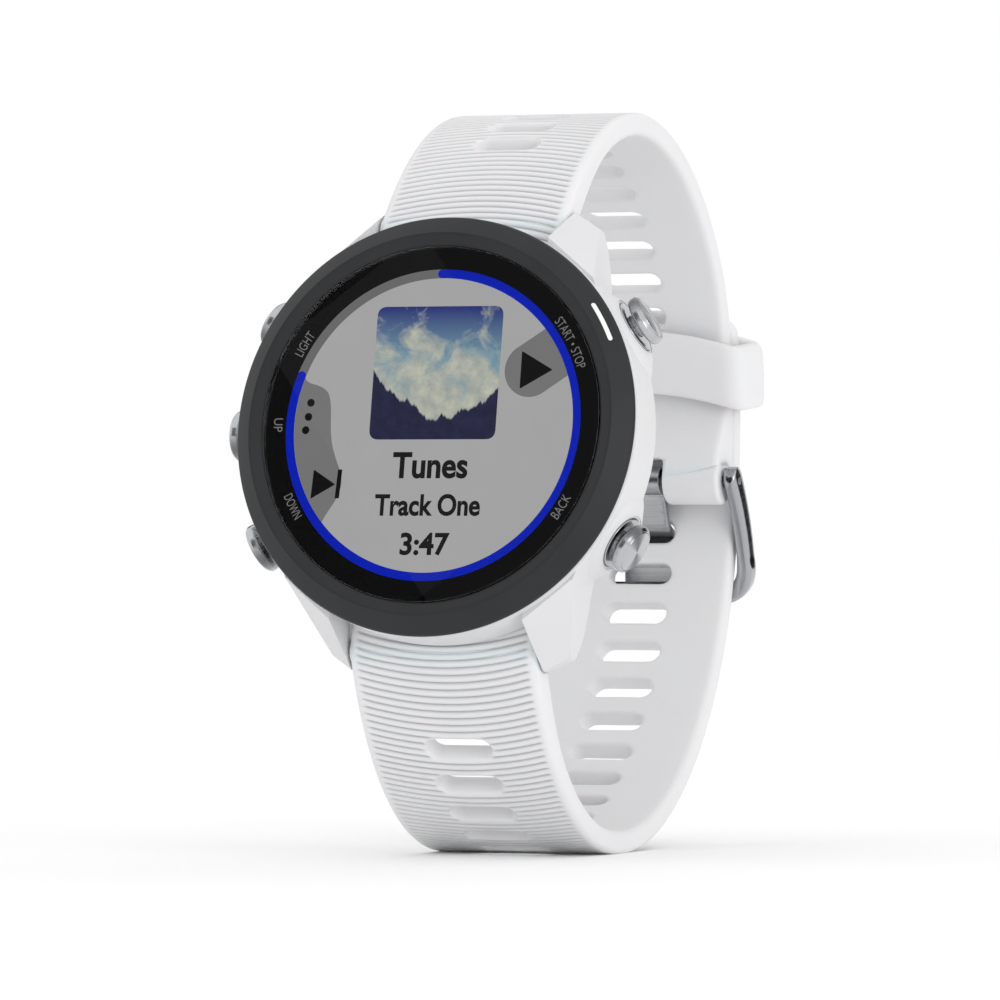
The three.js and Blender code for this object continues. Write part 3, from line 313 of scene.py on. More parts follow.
# ---- Glass, black mask and gasket ----
# A flat disc of chemically strengthened glass, polished, with a ground edge. Behind its rim a black mask is
# screen-printed, and a rubber gasket seats it in the bezel.
GLASS_R = 17.9
glass, _, _ = finish_of("strengthened_glass", Roughness=0.0, IOR=1.5, Transmission_Weight=1.0)
made_piece("cover_glass", [turned(rounded([(0, 0, 0), (GLASS_R, 0, 0.06), (GLASS_R, 1.0, 0.04), (0, 1.0, 0)],
                                          closed=False), sides=256)], glass, "watch", ["lens"])


def printed(name, colour, glow=1.1):
    """Ink or a lit cell of the display: it keeps its own colour whatever falls on it, with the faint unevenness
    of the layer behind. A lit cell glows as the backlight has it; ink printed behind the glass glows the same
    way, which is painted light standing for the room light that reaches it through the glass."""
    material, tree, shader = finish_of(name, Roughness=0.6)
    place = add(tree, "TexCoord").outputs["Object"]
    drift = add(tree, "TexNoise", {"Vector": place, "Scale": 260.0, "Detail": 2})
    level = add(tree, "MapRange", {"Value": drift.outputs["Fac"], "To Min": 0.97, "To Max": 1.03})
    shade = add(tree, "VectorMath", {0: linear(colour)[:3], "Scale": level.outputs["Result"]}, operation="SCALE")
    tree.links.new(shade.outputs["Vector"], shader.inputs["Emission Color"])
    shader.inputs["Emission Strength"].default_value = glow
    shader.inputs["Base Color"].default_value = (0, 0, 0, 1)
    shader.inputs["Specular IOR Level"].default_value = 0
    return material


def disc_plate(inner, outer, front, back, sides=192):
    """A flat ring between two radii and two depths, or a disc where the inner radius is 0."""
    profile = [(inner, front), (outer, front), (outer, back), (inner, back)]
    return turned(profile if inner == 0 else [*profile, (inner, front)], sides=sides)


black_mask = printed("black_mask", "#050506")
RING_OUT = 15.69
made_piece("glass_mask", [disc_plate(RING_OUT, GLASS_R, 1.02, 1.06)], black_mask, "watch")

# ---- Display ----
# A transflective colour display under the glass, showing a music player: a progress ring, a picture of clouds
# over hills, three lines of text and two grey key hints.
SCREEN_R = 16.6
screen_grey = printed("screen_grey", "#B1B1B1")
made_piece("display", [disc_plate(0, SCREEN_R, 1.3, 2.55)], screen_grey, "watch", ["display_panel"])
LAYER = 0.03
FIRST_LAYER = 1.27


def arc_band(r_in, r_out, start, end, level, round_ends=True):
    """A band of the display along an arc: across it from the inner to the outer radius, narrowing at round
    ends to a half circle, between two depths."""
    middle, half = (r_in + r_out) / 2, (r_out - r_in) / 2
    length = abs(math.radians(end - start)) * middle
    along = np.sort(np.concatenate([np.linspace(0, length, 241), half * np.linspace(0, 1, 12) ** 2,
                                    length - half * np.linspace(0, 1, 12) ** 2]))
    from_end = np.minimum(along, length - along)
    width = half * (np.sqrt(np.clip(1 - (1 - np.minimum(from_end / half, 1)) ** 2, 0, 1)) if round_ends else 1)
    angle = math.radians(start) + np.sign(end - start) * along / middle
    front = FIRST_LAYER - level * LAYER
    sides = np.array([(-1, 0), (1, 0), (1, 1), (-1, 1), (-1, 0)])
    r = middle + (width * np.ones_like(angle))[:, None] * sides[:, 0]
    depth = np.broadcast_to(front + sides[:, 1] * LAYER * 0.6, r.shape)
    return grid_shape(np.stack([r * np.cos(angle)[:, None], depth, r * np.sin(angle)[:, None]], -1))


def plate(outline, level):
    """A thin plate of the display: its outline round its own middle, at one layer of depth."""
    outline = np.vstack([outline, outline[:1]])
    middle = np.broadcast_to(outline[:-1].mean(0), outline.shape)
    front = FIRST_LAYER - level * LAYER
    rows = [(middle, front), (outline, front), (outline, front + LAYER * 0.6), (middle, front + LAYER * 0.6)]
    return grid_shape(np.stack([np.stack([o[:, 0], np.full(len(o), d), o[:, 1]], -1) for o, d in rows]))


RING_IN = 14.8
ring_grey = printed("ring_grey", "#6F6F6F")
ring_blue = printed("ring_blue", "#0420B8")
made_piece("track_ring", [arc_band(RING_IN, RING_OUT, 168, 86, 1, False)], ring_grey, "watch")
made_piece("played_ring", [arc_band(RING_IN, RING_OUT, 92, -201, 2)], ring_blue, "watch")
gap_black = printed("gap_black", "#08080A")
screen_edge = disc_plate(RING_OUT, SCREEN_R - 0.02, 1.24, 1.26)
made_piece("screen_edge", [screen_edge], gap_black, "watch")


def corners_cut(points, rounds=3):
    """A smooth curve near a broken line: each round replaces each corner by two points a quarter of the way
    to its neighbours."""
    line = np.array(points, float)
    for _ in range(rounds):
        cut = np.stack([0.75 * line[:-1] + 0.25 * line[1:], 0.25 * line[:-1] + 0.75 * line[1:]], 1)
        line = np.vstack([line[:1], cut.reshape(-1, 2), line[-1:]])
    return line


def soft_line(points, at, rounds=3):
    """The smooth curve near a broken line, read at given places along its first coordinate."""
    line = corners_cut(points, rounds)
    return np.interp(at, line[:, 0], line[:, 1])


# Grey key hints: a band with a round end that comes in from the start key, and at the left a two-lobed one
# for menu and skip.
hint_grey = printed("hint_grey", "#7C7C7C")
KEY_WAY = math.radians(28)
round_end = np.linspace(KEY_WAY + math.pi / 2, KEY_WAY + 3 * math.pi / 2, 40)
HINT_R = 2.72
round_part = np.stack([9.95 + HINT_R * np.cos(round_end), 5.5 + HINT_R * np.sin(round_end)], -1)
edge_turn = KEY_WAY + np.radians(np.linspace(-8.5, 12.5, 9))
start_hint = np.vstack([round_part, np.stack([RING_IN * np.cos(edge_turn), RING_IN * np.sin(edge_turn)], -1)])
made_piece("start_hint", [plate(start_hint, 0)], hint_grey, "watch")
hint_line = [(5.1, -14.2), (4.3, -13.7), (3.95, -12.0), (2.9, -11.05), (-1.2, -10.85), (-3.3, -10.15),
             (-5.3, -9.2), (-7.1, -9.5), (-8.9, -10.7), (-9.9, -11.2)]
up = np.linspace(5.1, -9.9, 90)
right = -soft_line([(-u, -r) for u, r in hint_line], -up)
left = -np.sqrt(RING_IN**2 - up**2)
right[[0, -1]] = left[[0, -1]]
right = np.maximum(right, left)
hint_front, hint_back = FIRST_LAYER, FIRST_LAYER + LAYER * 0.6
hint_rows = np.stack([np.stack([a, np.full(len(up), d), up], -1) for a, d in (
    (left, hint_front), (right, hint_front), (right, hint_back), (left, hint_back), (left, hint_front))], 1)
made_piece("menu_hint", [grid_shape(hint_rows)], hint_grey, "watch")

# Black symbols: play, three dots and skip.
symbol_black = printed("symbol_black", "#0E0E10")


def polygon(*corners, radius=0.12):
    """An outline with slightly rounded corners."""
    return rounded([(x, y, radius) for x, y in corners], closed=False, steps=4)


turn = np.linspace(0, 2 * np.pi, 25)[:-1]
dots = [plate(np.stack([x + 0.4 * np.cos(turn), y + 0.4 * np.sin(turn)], -1), 1)
        for x, y in ((-13.2, 2.3), (-13.35, 0.87), (-13.55, -0.47))]
play = plate(polygon((8.95, 7.4), (12.3, 5.5), (8.95, 3.6)), 1)
skip = [plate(polygon((-12.35, -4.45), (-9.95, -5.95), (-12.5, -7.4)), 1),
        plate(polygon((-9.75, -4.45), (-9.3, -4.45), (-9.45, -7.35), (-9.9, -7.35), radius=0.03), 1)]
made_piece("screen_symbols", [play, *dots, *skip], symbol_black, "watch")


def lettering(name, text, height, width, place, ink, weight=0.0):
    """Words as thin closed plates: the letters' outline is scaled to a cap height and a width in millimetres
    round its middle, and place gives x and up from the two."""
    curve = bpy.data.curves.new(name, "FONT")
    curve.body = text
    curve.offset = weight
    curve.extrude = 0.01
    curve.resolution_u = 6
    loose = bpy.data.objects.new(name + "_outline", curve)
    scene.collection.objects.link(loose)
    bpy.context.view_layer.update()
    mesh = bpy.data.meshes.new_from_object(loose.evaluated_get(bpy.context.evaluated_depsgraph_get()))
    bpy.data.objects.remove(loose)
    flat = np.zeros(len(mesh.vertices) * 3)
    mesh.vertices.foreach_get("co", flat)
    x, y, z = flat.reshape(-1, 3).T
    cap = 0.7
    x = (x - (x.min() + x.max()) / 2) * width / np.ptp(x)
    y = (y - cap / 2) * height / cap
    across, upwards = place(x, y)
    depth = np.where(z > 0, FIRST_LAYER - 2 * LAYER, FIRST_LAYER - 2 * LAYER + 0.02)
    mesh.vertices.foreach_set("co", in_metres(np.stack([across, depth, upwards], -1)).reshape(-1))
    tidy = bmesh.new()
    tidy.from_mesh(mesh)
    bmesh.ops.remove_doubles(tidy, verts=tidy.verts, dist=1e-7)
    bmesh.ops.recalc_face_normals(tidy, faces=tidy.faces)
    tidy.to_mesh(mesh)
    tidy.free()
    mesh.name = name
    return shown(name, mesh, ink, "watch")


for line, (words, height, width, level) in enumerate(
        [("Tunes", 2.5, 8.0, -4.0), ("Track One", 2.05, 11.2, -8.0), ("3:47", 2.1, 5.2, -11.9)]):
    lettering(f"screen_line_{line + 1}", words, height, width,
              lambda x, y, level=level: (x + 0.05, y + level), symbol_black, 0.028)

# The button labels are grey ink printed behind the glass, and glow like the display: painted light, standing for
# the room light that reaches them through the glass.
label_ink_painted_glow = printed("label_ink_painted_glow", "#8A8A8A")
LABEL_R = 16.45


def on_the_mask(middle, inward):
    """Bends a line of words along the mask's circle: a distance along it becomes an angle, and height adds to
    the radius, or takes from it where the words' tops point inwards."""
    way = 1 if inward else -1

    def place(x, y):
        angle = math.radians(middle) + way * x / LABEL_R
        return (LABEL_R - way * y) * np.cos(angle), (LABEL_R - way * y) * np.sin(angle)
    return place


for words, middle, width, inward in (
        ("LIGHT", 150, 2.6, False), ("UP", 180, 1.35, True), ("DOWN", 210, 2.65, True),
        ("START • STOP", 30, 5.7, False), ("BACK", -30, 2.5, True)):
    name = "label_" + words.split()[0].lower()
    piece = lettering(name, words, 0.98, width, on_the_mask(middle, inward), label_ink_painted_glow, -0.012)
    label_depth = np.zeros(len(piece.data.vertices) * 3)
    piece.data.vertices.foreach_get("co", label_depth)
    label_depth = label_depth.reshape(-1, 3) - INTO_WATCH * 0.2 / 1000
    piece.data.vertices.foreach_set("co", label_depth.reshape(-1))


# The picture: clouds in a deep blue sky over dark hills, drawn with noise across the plate's own UV.
def picture_ink():
    """Sky from blue to cream by height, cloud where noise is high, and hills below a jagged line."""
    material, tree, shader = finish_of("cloud_picture", Roughness=0.6)
    place = add(tree, "TexCoord").outputs["UV"]
    split = add(tree, "SeparateXYZ", {"Vector": place})
    across, height = split.outputs["X"], split.outputs["Y"]
    sky = add(tree, "ValToRGB", {"Fac": height})
    sky.color_ramp.elements[0].color = linear("#B9C9C4")
    sky.color_ramp.elements[1].color = linear("#2C3488")
    sky.color_ramp.elements.new(0.62).color = linear("#7FA9BE")
    puffs = add(tree, "TexNoise", {"Vector": place, "Scale": 4.2, "Detail": 9, "Roughness": 0.62,
                                   "Distortion": 0.6})
    low = add(tree, "Math", {0: height, 1: -0.42}, operation="MULTIPLY")
    heap = add(tree, "Math", {0: puffs.outputs["Fac"], 1: low.outputs[0]}, operation="ADD")
    cover = add(tree, "MapRange", {"Value": heap.outputs[0], "From Min": 0.12, "From Max": 0.32})
    billow = add(tree, "TexNoise", {"Vector": place, "Scale": 9.0, "Detail": 8, "Roughness": 0.6})
    cloud = add(tree, "Mix", {"Factor": billow.outputs["Fac"], "A": linear("#7C8F9E"), "B": linear("#FBF8DC")},
                data_type="RGBA")
    air = add(tree, "Mix", {"Factor": cover.outputs["Result"], "A": sky.outputs["Color"],
                            "B": cloud.outputs["Result"]}, data_type="RGBA")
    jag = add(tree, "TexNoise", {"Vector": add(tree, "CombineXYZ", {"X": across}).outputs[0], "Scale": 5.0,
                                 "Detail": 7, "Roughness": 0.6})
    centred = add(tree, "Math", {0: across, 1: -0.56}, operation="ADD")
    valley = add(tree, "Math", {0: centred.outputs[0], 1: centred.outputs[0]}, operation="MULTIPLY")
    slope = add(tree, "Math", {0: valley.outputs[0], 1: 1.15, 2: -0.04}, operation="MULTIPLY_ADD")
    crest = add(tree, "Math", {0: jag.outputs["Fac"], 1: 0.42, 2: slope.outputs[0]}, operation="MULTIPLY_ADD")
    below = add(tree, "Math", {0: crest.outputs[0], 1: height}, operation="SUBTRACT")
    land = add(tree, "MapRange", {"Value": below.outputs[0], "From Min": -0.006, "From Max": 0.012})
    rock = add(tree, "TexNoise", {"Vector": place, "Scale": 12.0, "Detail": 8})
    hill = add(tree, "Mix", {"Factor": rock.outputs["Fac"], "A": linear("#171430"), "B": linear("#34365E")},
               data_type="RGBA")
    view = add(tree, "Mix", {"Factor": land.outputs["Result"], "A": air.outputs["Result"],
                             "B": hill.outputs["Result"]}, data_type="RGBA")
    tree.links.new(view.outputs["Result"], shader.inputs["Emission Color"])
    shader.inputs["Emission Strength"].default_value = 0.9
    shader.inputs["Base Color"].default_value = (0, 0, 0, 1)
    shader.inputs["Specular IOR Level"].default_value = 0
    return material


PICTURE_HALF = 6.7
PICTURE_UP = 5.26
outline = rounded([(a * PICTURE_HALF, b * PICTURE_HALF + PICTURE_UP, 1.0)
                   for a, b in ((1, 1), (-1, 1), (-1, -1), (1, -1))], closed=False, steps=8)
picture_points, picture_faces, _ = plate(outline, 1)
picture_uv = (picture_points[:, [0, 2]] - [0, PICTURE_UP]) / (2 * PICTURE_HALF) + 0.5
made_piece("screen_picture", [(picture_points, picture_faces, picture_uv)], picture_ink(), "watch")


# ---- Case ----
# A round body of white glass-fibre-filled polyamide, injection-moulded in one with the four lugs and the five
# round seats of the buttons. Its surface is spark-eroded to a soft matt.
case_polyamide = moulded("case_polyamide", "#DDDDDE", "#D8D8DA", 0.5, 0.16, 0.022, IOR=1.5)
CAVITY_R = 18.4
NOTCH_UP, NOTCH_FRONT, NOTCH_R = 19.5, 7.05, 21.05
LUG_IN = 10.25
BAR_DEPTH, BAR_UP = 8.95, 21.4
BUTTONS = {"start": 30.5, "back": -30.0, "light": 150.0, "up": 180.0, "down": 210.0}
BUTTON_DEPTH = 6.45


def case_wall():
    """The wall: its section turned round the watch, and behind the notch's front edge pressed flat above and
    below between the lugs, so that the strap ends have room."""
    section = rounded([
        (20.7, 1.95, 0.1), (CASE_R, 2.25, 0.3), (CASE_R, 6.6, 0.3), (NOTCH_R, NOTCH_FRONT - 0.02, 0),
        (NOTCH_R - 0.005, NOTCH_FRONT, 0), (20.65, 8.8, 0.8), (19.9, 10.3, 0.12), (16.9, 10.3, 0.1),
        (16.9, 9.2, 0.1),
        (CAVITY_R, 9.2, 0.1), (CAVITY_R, 1.95, 0.1),
    ])
    points, faces, uv = turned(section, sides=360)
    behind = (points[:, 1] >= NOTCH_FRONT - 1e-6) & (np.hypot(points[:, 0], points[:, 2]) > CAVITY_R + 0.1)
    room = behind & (np.abs(points[:, 0]) < LUG_IN)
    points[:, 2] = np.where(room, np.clip(points[:, 2], -NOTCH_UP, NOTCH_UP), points[:, 2])
    return points, faces, uv


def boxy_ring(count=48, power=5.0):
    """A rounded square of half side 1: cos and sin, each to the power 2 over a power that squares it."""
    angle = np.linspace(0, 2 * np.pi, count + 1)
    c, s = np.cos(angle), np.sin(angle)
    return np.sign(c) * np.abs(c) ** (2 / power), np.sign(s) * np.abs(s) ** (2 / power)


def behind_cover(points):
    """Keeps the back of the lugs and button seats off the back cover: no deeper than the case's rear edge
    within the cover's radius, and by a steep cone outside it."""
    deepest = 10.28 + 4 * np.clip(np.hypot(points[:, 0], points[:, 2]) - 19.65, 0, None)
    points[:, 1] = np.minimum(points[:, 1], deepest)
    return points


# The planes of a lug: factors of x, of depth (against x and up in front, with them at the side) and of up,
# and what they add up to. The others are the edge between the two planes and the slant from the tip to the
# shoulder.
FRONT_X, FRONT_DEPTH, FRONT_UP, FRONT_SUM = 0.579, 0.415, 0.702, 18.446
SIDE_X, SIDE_DEPTH, SIDE_UP, SIDE_SUM = 0.96, 0.106, 0.25, 18.73
EDGE_START, EDGE_SLOPE, SLANT_SLOPE = 21.158, 0.3875, 1.564
LUG_ROOT, LUG_TIP, LUG_LEAST_DEPTH = 13.6, BAR_UP + 1.8, 2.45


def closed_ends(rings):
    """Rows of a grid with one more row at each end, drawn together to its middle."""
    ends = [np.broadcast_to(rings[k].mean(0), rings[k].shape)[None] for k in (0, -1)]
    return np.concatenate([ends[0], rings, ends[1]])


def lug(side, end):
    """A lug, carried as a section from inside the wall to the tip. Beside the strap it is upright. One
    oblique plane runs back from the bezel to the edge between the tip and the shoulder, a steeper one makes
    the outer side, and a slant cuts from the tip to the shoulder."""
    up = np.linspace(LUG_ROOT, LUG_TIP, 90)
    back = soft_line([(LUG_ROOT, 9.6), (15.0, 10.3), (18.2, 11.9), (19.4, 12.3), (21.0, 12.3), (22.65, 11.15),
                      (LUG_TIP, 10.3)], up, 2)
    slant = LUG_IN + 0.05 + (LUG_TIP - up) * SLANT_SLOPE
    edge_x = np.minimum(EDGE_START - EDGE_SLOPE * up, slant)
    edge_depth, front = ((FRONT_X * x + FRONT_UP * up - FRONT_SUM) / FRONT_DEPTH for x in (edge_x, LUG_IN))
    edge_depth = np.clip(edge_depth, LUG_LEAST_DEPTH, back - 0.4)
    front = np.clip(front, LUG_LEAST_DEPTH, edge_depth)
    front_x = np.clip((FRONT_SUM + FRONT_DEPTH * front - FRONT_UP * up) / FRONT_X, LUG_IN + 0.02, edge_x)
    back_x = np.minimum((SIDE_SUM - SIDE_DEPTH * back - SIDE_UP * up) / SIDE_X, slant)
    inner, soft = np.full_like(up, LUG_IN), np.full_like(up, 0.1)
    corners = np.stack([np.stack(c, -1) for c in (
        (inner, front, 0.1 * soft), (front_x, front, 0.1 * soft), (edge_x, edge_depth, soft),
        (back_x, back, 3 * soft), (inner, back, soft))], 1)
    section = rounded(corners, steps=5)
    heights = np.broadcast_to(up[:, None], section.shape[:2])
    rings = np.stack([side * section[..., 0], section[..., 1], end * heights], -1)
    points, faces, uv = grid_shape(closed_ends(rings))
    return behind_cover(points), faces, uv


def outward(degrees):
    """The direction of a button's axis, away from the middle of the watch."""
    return np.array([math.cos(math.radians(degrees)), 0, math.sin(math.radians(degrees))])


POD_OUT = 21.5
FLANGE_R = 2.7
pod_profile = rounded([
    (2.0, 18.7, 0), (5.6, 18.7, 0), (5.6, 19.9, 0.8), (3.5, 21.35, 0.5), (3.15, POD_OUT, 0.15),
    (FLANGE_R + 0.06, POD_OUT, 0.06), (FLANGE_R + 0.06, 21.05, 0.02), (2.0, 21.05, 0.02),
])
pods = [turned(pod_profile, (0, BUTTON_DEPTH, 0), outward(a), 128) for a in BUTTONS.values()]
pods = [(behind_cover(points), faces, uv) for points, faces, uv in pods]
for points, _, _ in pods:
    points[:, 1] = np.maximum(points[:, 1], 2.05)
lugs = [lug(side, end) for side in (1, -1) for end in (1, -1)]
made_piece("case", [case_wall(), *lugs, *pods], case_polyamide, "watch", ["case_body"])

# ---- Buttons ----
# Five stainless-steel buttons. Each cap is spun, so its slightly domed face has circular brush marks and a
# polished rim, and it slides in a pressed-in steel bushing whose flange shows round it.


def spun_steel(name, colour, roughness, streak=0.10, uneven=0.35, anisotropy=0.6, painted_wedge_shade=0.0):
    """Steel with brush marks along u of its UV: noise that is long along u and short across it marks the
    gloss and the surface, and the tangent gives the streaked highlight. The painted wedge shade darkens two
    opposite wedges of the turn: painted shade, standing for the dark parts of a spun face's bow-tie reflection."""
    material, tree, shader = finish_of(name, Metallic=1.0, Anisotropic=anisotropy, Anisotropic_Rotation=0.25)
    uv = add(tree, "TexCoord").outputs["UV"]
    stretched = add(tree, "Mapping", {"Vector": uv, "Scale": (9.0, 1 / streak, 1.0)})
    marks = add(tree, "TexNoise", {"Vector": stretched.outputs["Vector"], "Scale": 1.0, "Detail": 4})
    tone = add(tree, "Mix", {"Factor": marks.outputs["Fac"], "A": linear(colour), "B": linear("#C9CBCD")},
               data_type="RGBA")
    turn_part = add(tree, "SeparateXYZ", {"Vector": uv}).outputs["X"]
    wedges = add(tree, "Math", {0: turn_part, 1: 4 * math.pi}, operation="MULTIPLY")
    wave = add(tree, "Math", {0: wedges.outputs[0]}, operation="SINE")
    painted_dark_wedges = add(tree, "MapRange", {"Value": wave.outputs[0], "From Min": 0.1, "To Max": painted_wedge_shade})
    # Painted shade: two opposite wedges of the turn darken towards #3A3B3D, standing for the dark parts of a
    # spun face's bow-tie reflection.
    tone = add(tree, "Mix", {"Factor": painted_dark_wedges.outputs["Result"], "A": tone.outputs["Result"],
                             "B": linear("#3A3B3D")}, data_type="RGBA")
    gloss = add(tree, "MapRange", {"Value": marks.outputs["Fac"], "To Min": roughness * (1 - uneven),
                                   "To Max": roughness * (1 + uneven)})
    relief = add(tree, "Bump", {"Height": marks.outputs["Fac"], "Strength": 0.35, "Distance": 0.00001})
    along = add(tree, "Tangent", direction_type="UV_MAP", uv_map="UVMap")
    tree.links.new(tone.outputs["Result"], shader.inputs["Base Color"])
    tree.links.new(gloss.outputs["Result"], shader.inputs["Roughness"])
    tree.links.new(relief.outputs["Normal"], shader.inputs["Normal"])
    tree.links.new(along.outputs["Tangent"], shader.inputs["Tangent"])
    return material


# The button caps get the painted dark wedges at three quarters strength.
button_steel = spun_steel("spun_steel", "#B4B6B9", 0.22, streak=0.06, anisotropy=0.9, painted_wedge_shade=0.75)
bushing_steel = spun_steel("turned_steel", "#97999C", 0.2, anisotropy=0.3)
CAP_R, FACE_R, STEM_R = 2.55, 2.1, 1.15
STEM_END, FACE_AT = 17.8, 23.5
cap_face = [(r, FACE_AT - 0.15 * (r / FACE_R) ** 2) for r in np.linspace(0, FACE_R, 12)[1:]]
cap_profile = np.vstack([
    rounded([(0, STEM_END, 0), (0.95, STEM_END, 0.05), (1.6, 17.9, 0.05), (1.6, 18.3, 0.05),
             (STEM_R, 18.3, 0), (STEM_R, 22.25, 0.05), (2.4, 22.25, 0.1), (CAP_R, 22.45, 0.1),
             (CAP_R, 23.0, 0.12), (2.22, 23.34, 0.1)], closed=False),
    cap_face[::-1], [(0, FACE_AT)],
])
bushing_profile = rounded([
    (1.21, 18.55, 0.03), (1.76, 18.55, 0.05), (1.76, 21.2, 0), (FLANGE_R, 21.2, 0.05), (FLANGE_R, 21.62, 0.12),
    (2.1, 21.68, 0.05), (1.21, 21.62, 0.03),
])
for button, degrees in BUTTONS.items():
    cap, collar = (turned(profile, (0, BUTTON_DEPTH, 0), outward(degrees), 96)
                   for profile in (cap_profile, bushing_profile))
    made_piece(button + "_cap", [cap], button_steel, button + "_button", [button + "_button"])
    made_piece(button + "_collar", [collar], bushing_steel, "watch", [button + "_bushing"])


# ---- Strap ----
# Two bands of white liquid silicone rubber. Their outer faces carry fine raised ribs in shallow arcs, the
# inner faces are smooth, and a row of slots is moulded through each. Each ends round its spring bar.
LOOP_MIDDLE, LOOP_FRONT, LOOP_BACK, LOOP_HALF = 31.005, 29.0, 32.3, 38.0
STRAP_HALF = 10.0
LAYER_STEP = 2.4
STRAP_START = 143.0
RIB_PITCH = 0.8
ROWS_PER_RIB = 5
RIB_DEPTH = 0.2
RIB_BOW = 1.6
GROOVE_SHADE = 0.6
BAND_EDGE = 0.75
HOLE_EDGE = 0.42
TAIL_DROP, TAIL_FLAT, TAIL_ROUND = 3.2, 5.8, 4.2


def smooth_step(value, low, high):
    """0 below low, 1 above high, and 3t squared less 2t cubed between."""
    t = np.clip((value - low) / (high - low), 0, 1)
    return t * t * (3 - 2 * t)


def length_along(line):
    """The length along a line of points up to each of them."""
    return np.concatenate([[0], np.cumsum(np.linalg.norm(np.diff(line, axis=0), axis=1))])


def read_at(lengths, known, line):
    """The two coordinates of a line, whose points have known lengths along it, at other lengths."""
    return np.stack([np.interp(lengths, known, line[:, k]) for k in (0, 1)], -1)


def way_along(line):
    """The direction of a line of points at each of them."""
    along = np.gradient(line, axis=0)
    return along / np.linalg.norm(along, axis=1, keepdims=True)


def loop_at(degrees, offset=0.0):
    """The loop's outer curve in side view: half ellipses in front and behind, moved out by an offset along
    the way out of the ellipse. Gives depth and up, and that way out."""
    angle = np.radians(degrees)
    reach = np.where(np.abs(degrees) < 90, LOOP_BACK, LOOP_FRONT)
    c, s = np.cos(angle), np.sin(angle)
    out = np.stack([c / reach, s / LOOP_HALF], -1)
    out /= np.linalg.norm(out, axis=-1, keepdims=True)
    point = np.stack([LOOP_MIDDLE + reach * c, LOOP_HALF * s], -1)
    return point + np.asarray(offset)[..., None] * out, out


def overlap(degrees):
    """How far the long strap has moved out over the short one, from 0 to 1."""
    return smooth_step(-np.asarray(degrees, float), -48, -8)


def lug_taper(degrees):
    """How far the strap has thickened towards its lug, from 0 to 1."""
    return smooth_step(np.abs(degrees), STRAP_START - 25, STRAP_START)


plain_degrees = np.linspace(-STRAP_START, STRAP_START, 5721)
plain_points = loop_at(plain_degrees)[0]
plain_length = length_along(plain_points)


def slots_from(first, pitch, below, above=0):
    """Loop angles of slots at equal steps of length along the outer curve, below and above a first one."""
    start = np.interp(first, plain_degrees, plain_length)
    return np.interp(start + pitch * np.arange(-below, above + 1), plain_length, plain_degrees)


def strap_path(end, last, offset_at, thickness_at):
    """The strap's outer curve from the case to its last loop angle, by length: straight over the spring bar,
    then the loop. Gives length, depth and up, the way out, thickness, and loop angle."""
    lead_in = np.array([(7.2, 18.6), (7.2, 20.4), (7.24, 21.4), (7.5, 22.4)])
    lead = len(lead_in)
    degrees = np.linspace(end * (STRAP_START - 0.6), last, 1500)
    curve, _ = loop_at(degrees, offset_at(degrees))
    curve = curve * [1, end]
    line = np.vstack([lead_in, curve])
    at = length_along(line)
    length = np.linspace(0, at[-1], 3000)
    line = read_at(length, at, line)
    kernel = np.ones(25) / 25
    padded = np.pad(line, ((12, 12), (0, 0)), mode="reflect", reflect_type="odd")
    line = np.stack([np.convolve(padded[:, k], kernel, "valid") for k in (0, 1)], -1)
    along = way_along(line)
    out = np.stack([along[:, 1], -along[:, 0]], -1) * -1
    angle = np.interp(length, at[lead:], degrees)
    thickness = np.where(length < at[lead], 0.85 + 2.35 * (length / at[lead]) ** 2, thickness_at(angle))
    return length, line * [1, end], out * [1, end], thickness, angle


def hole_distance(x, t, holes):
    """Distance outside the nearest hole, negative inside, and the nearest point of its edge. A hole is its
    place along the strap, half its length across, half its width along and its corner radius."""
    best = np.full(x.shape, np.inf)
    edge_x, edge_t = x.copy(), t.copy()
    for middle, half_across, half_along, radius in holes:
        core_x = np.clip(x, -(half_across - radius), half_across - radius)
        core_t = np.clip(t, middle - (half_along - radius), middle + (half_along - radius))
        away_x, away_t = x - core_x, t - core_t
        away = np.maximum(np.hypot(away_x, away_t), 1e-6)
        nearer = away - radius < best
        best = np.where(nearer, away - radius, best)
        edge_x = np.where(nearer, core_x + away_x / away * radius, edge_x)
        edge_t = np.where(nearer, core_t + away_t / away * radius, edge_t)
    return best, edge_x, edge_t


def edge_round(distance, radius):
    """How far a surface has dropped at a distance from an edge that is rounded to a quarter circle."""
    inside = np.clip(radius - distance, 0, radius)
    return radius - np.sqrt(radius**2 - inside**2)


def tail_corner(x):
    """How much shorter the long strap's tail is at a place across it than at mid-width."""
    past_flat = np.clip(np.abs(x) - TAIL_FLAT, 0, None) / TAIL_ROUND
    return TAIL_DROP * (1 - np.sqrt(np.clip(1 - past_flat**2, 0, 1)))


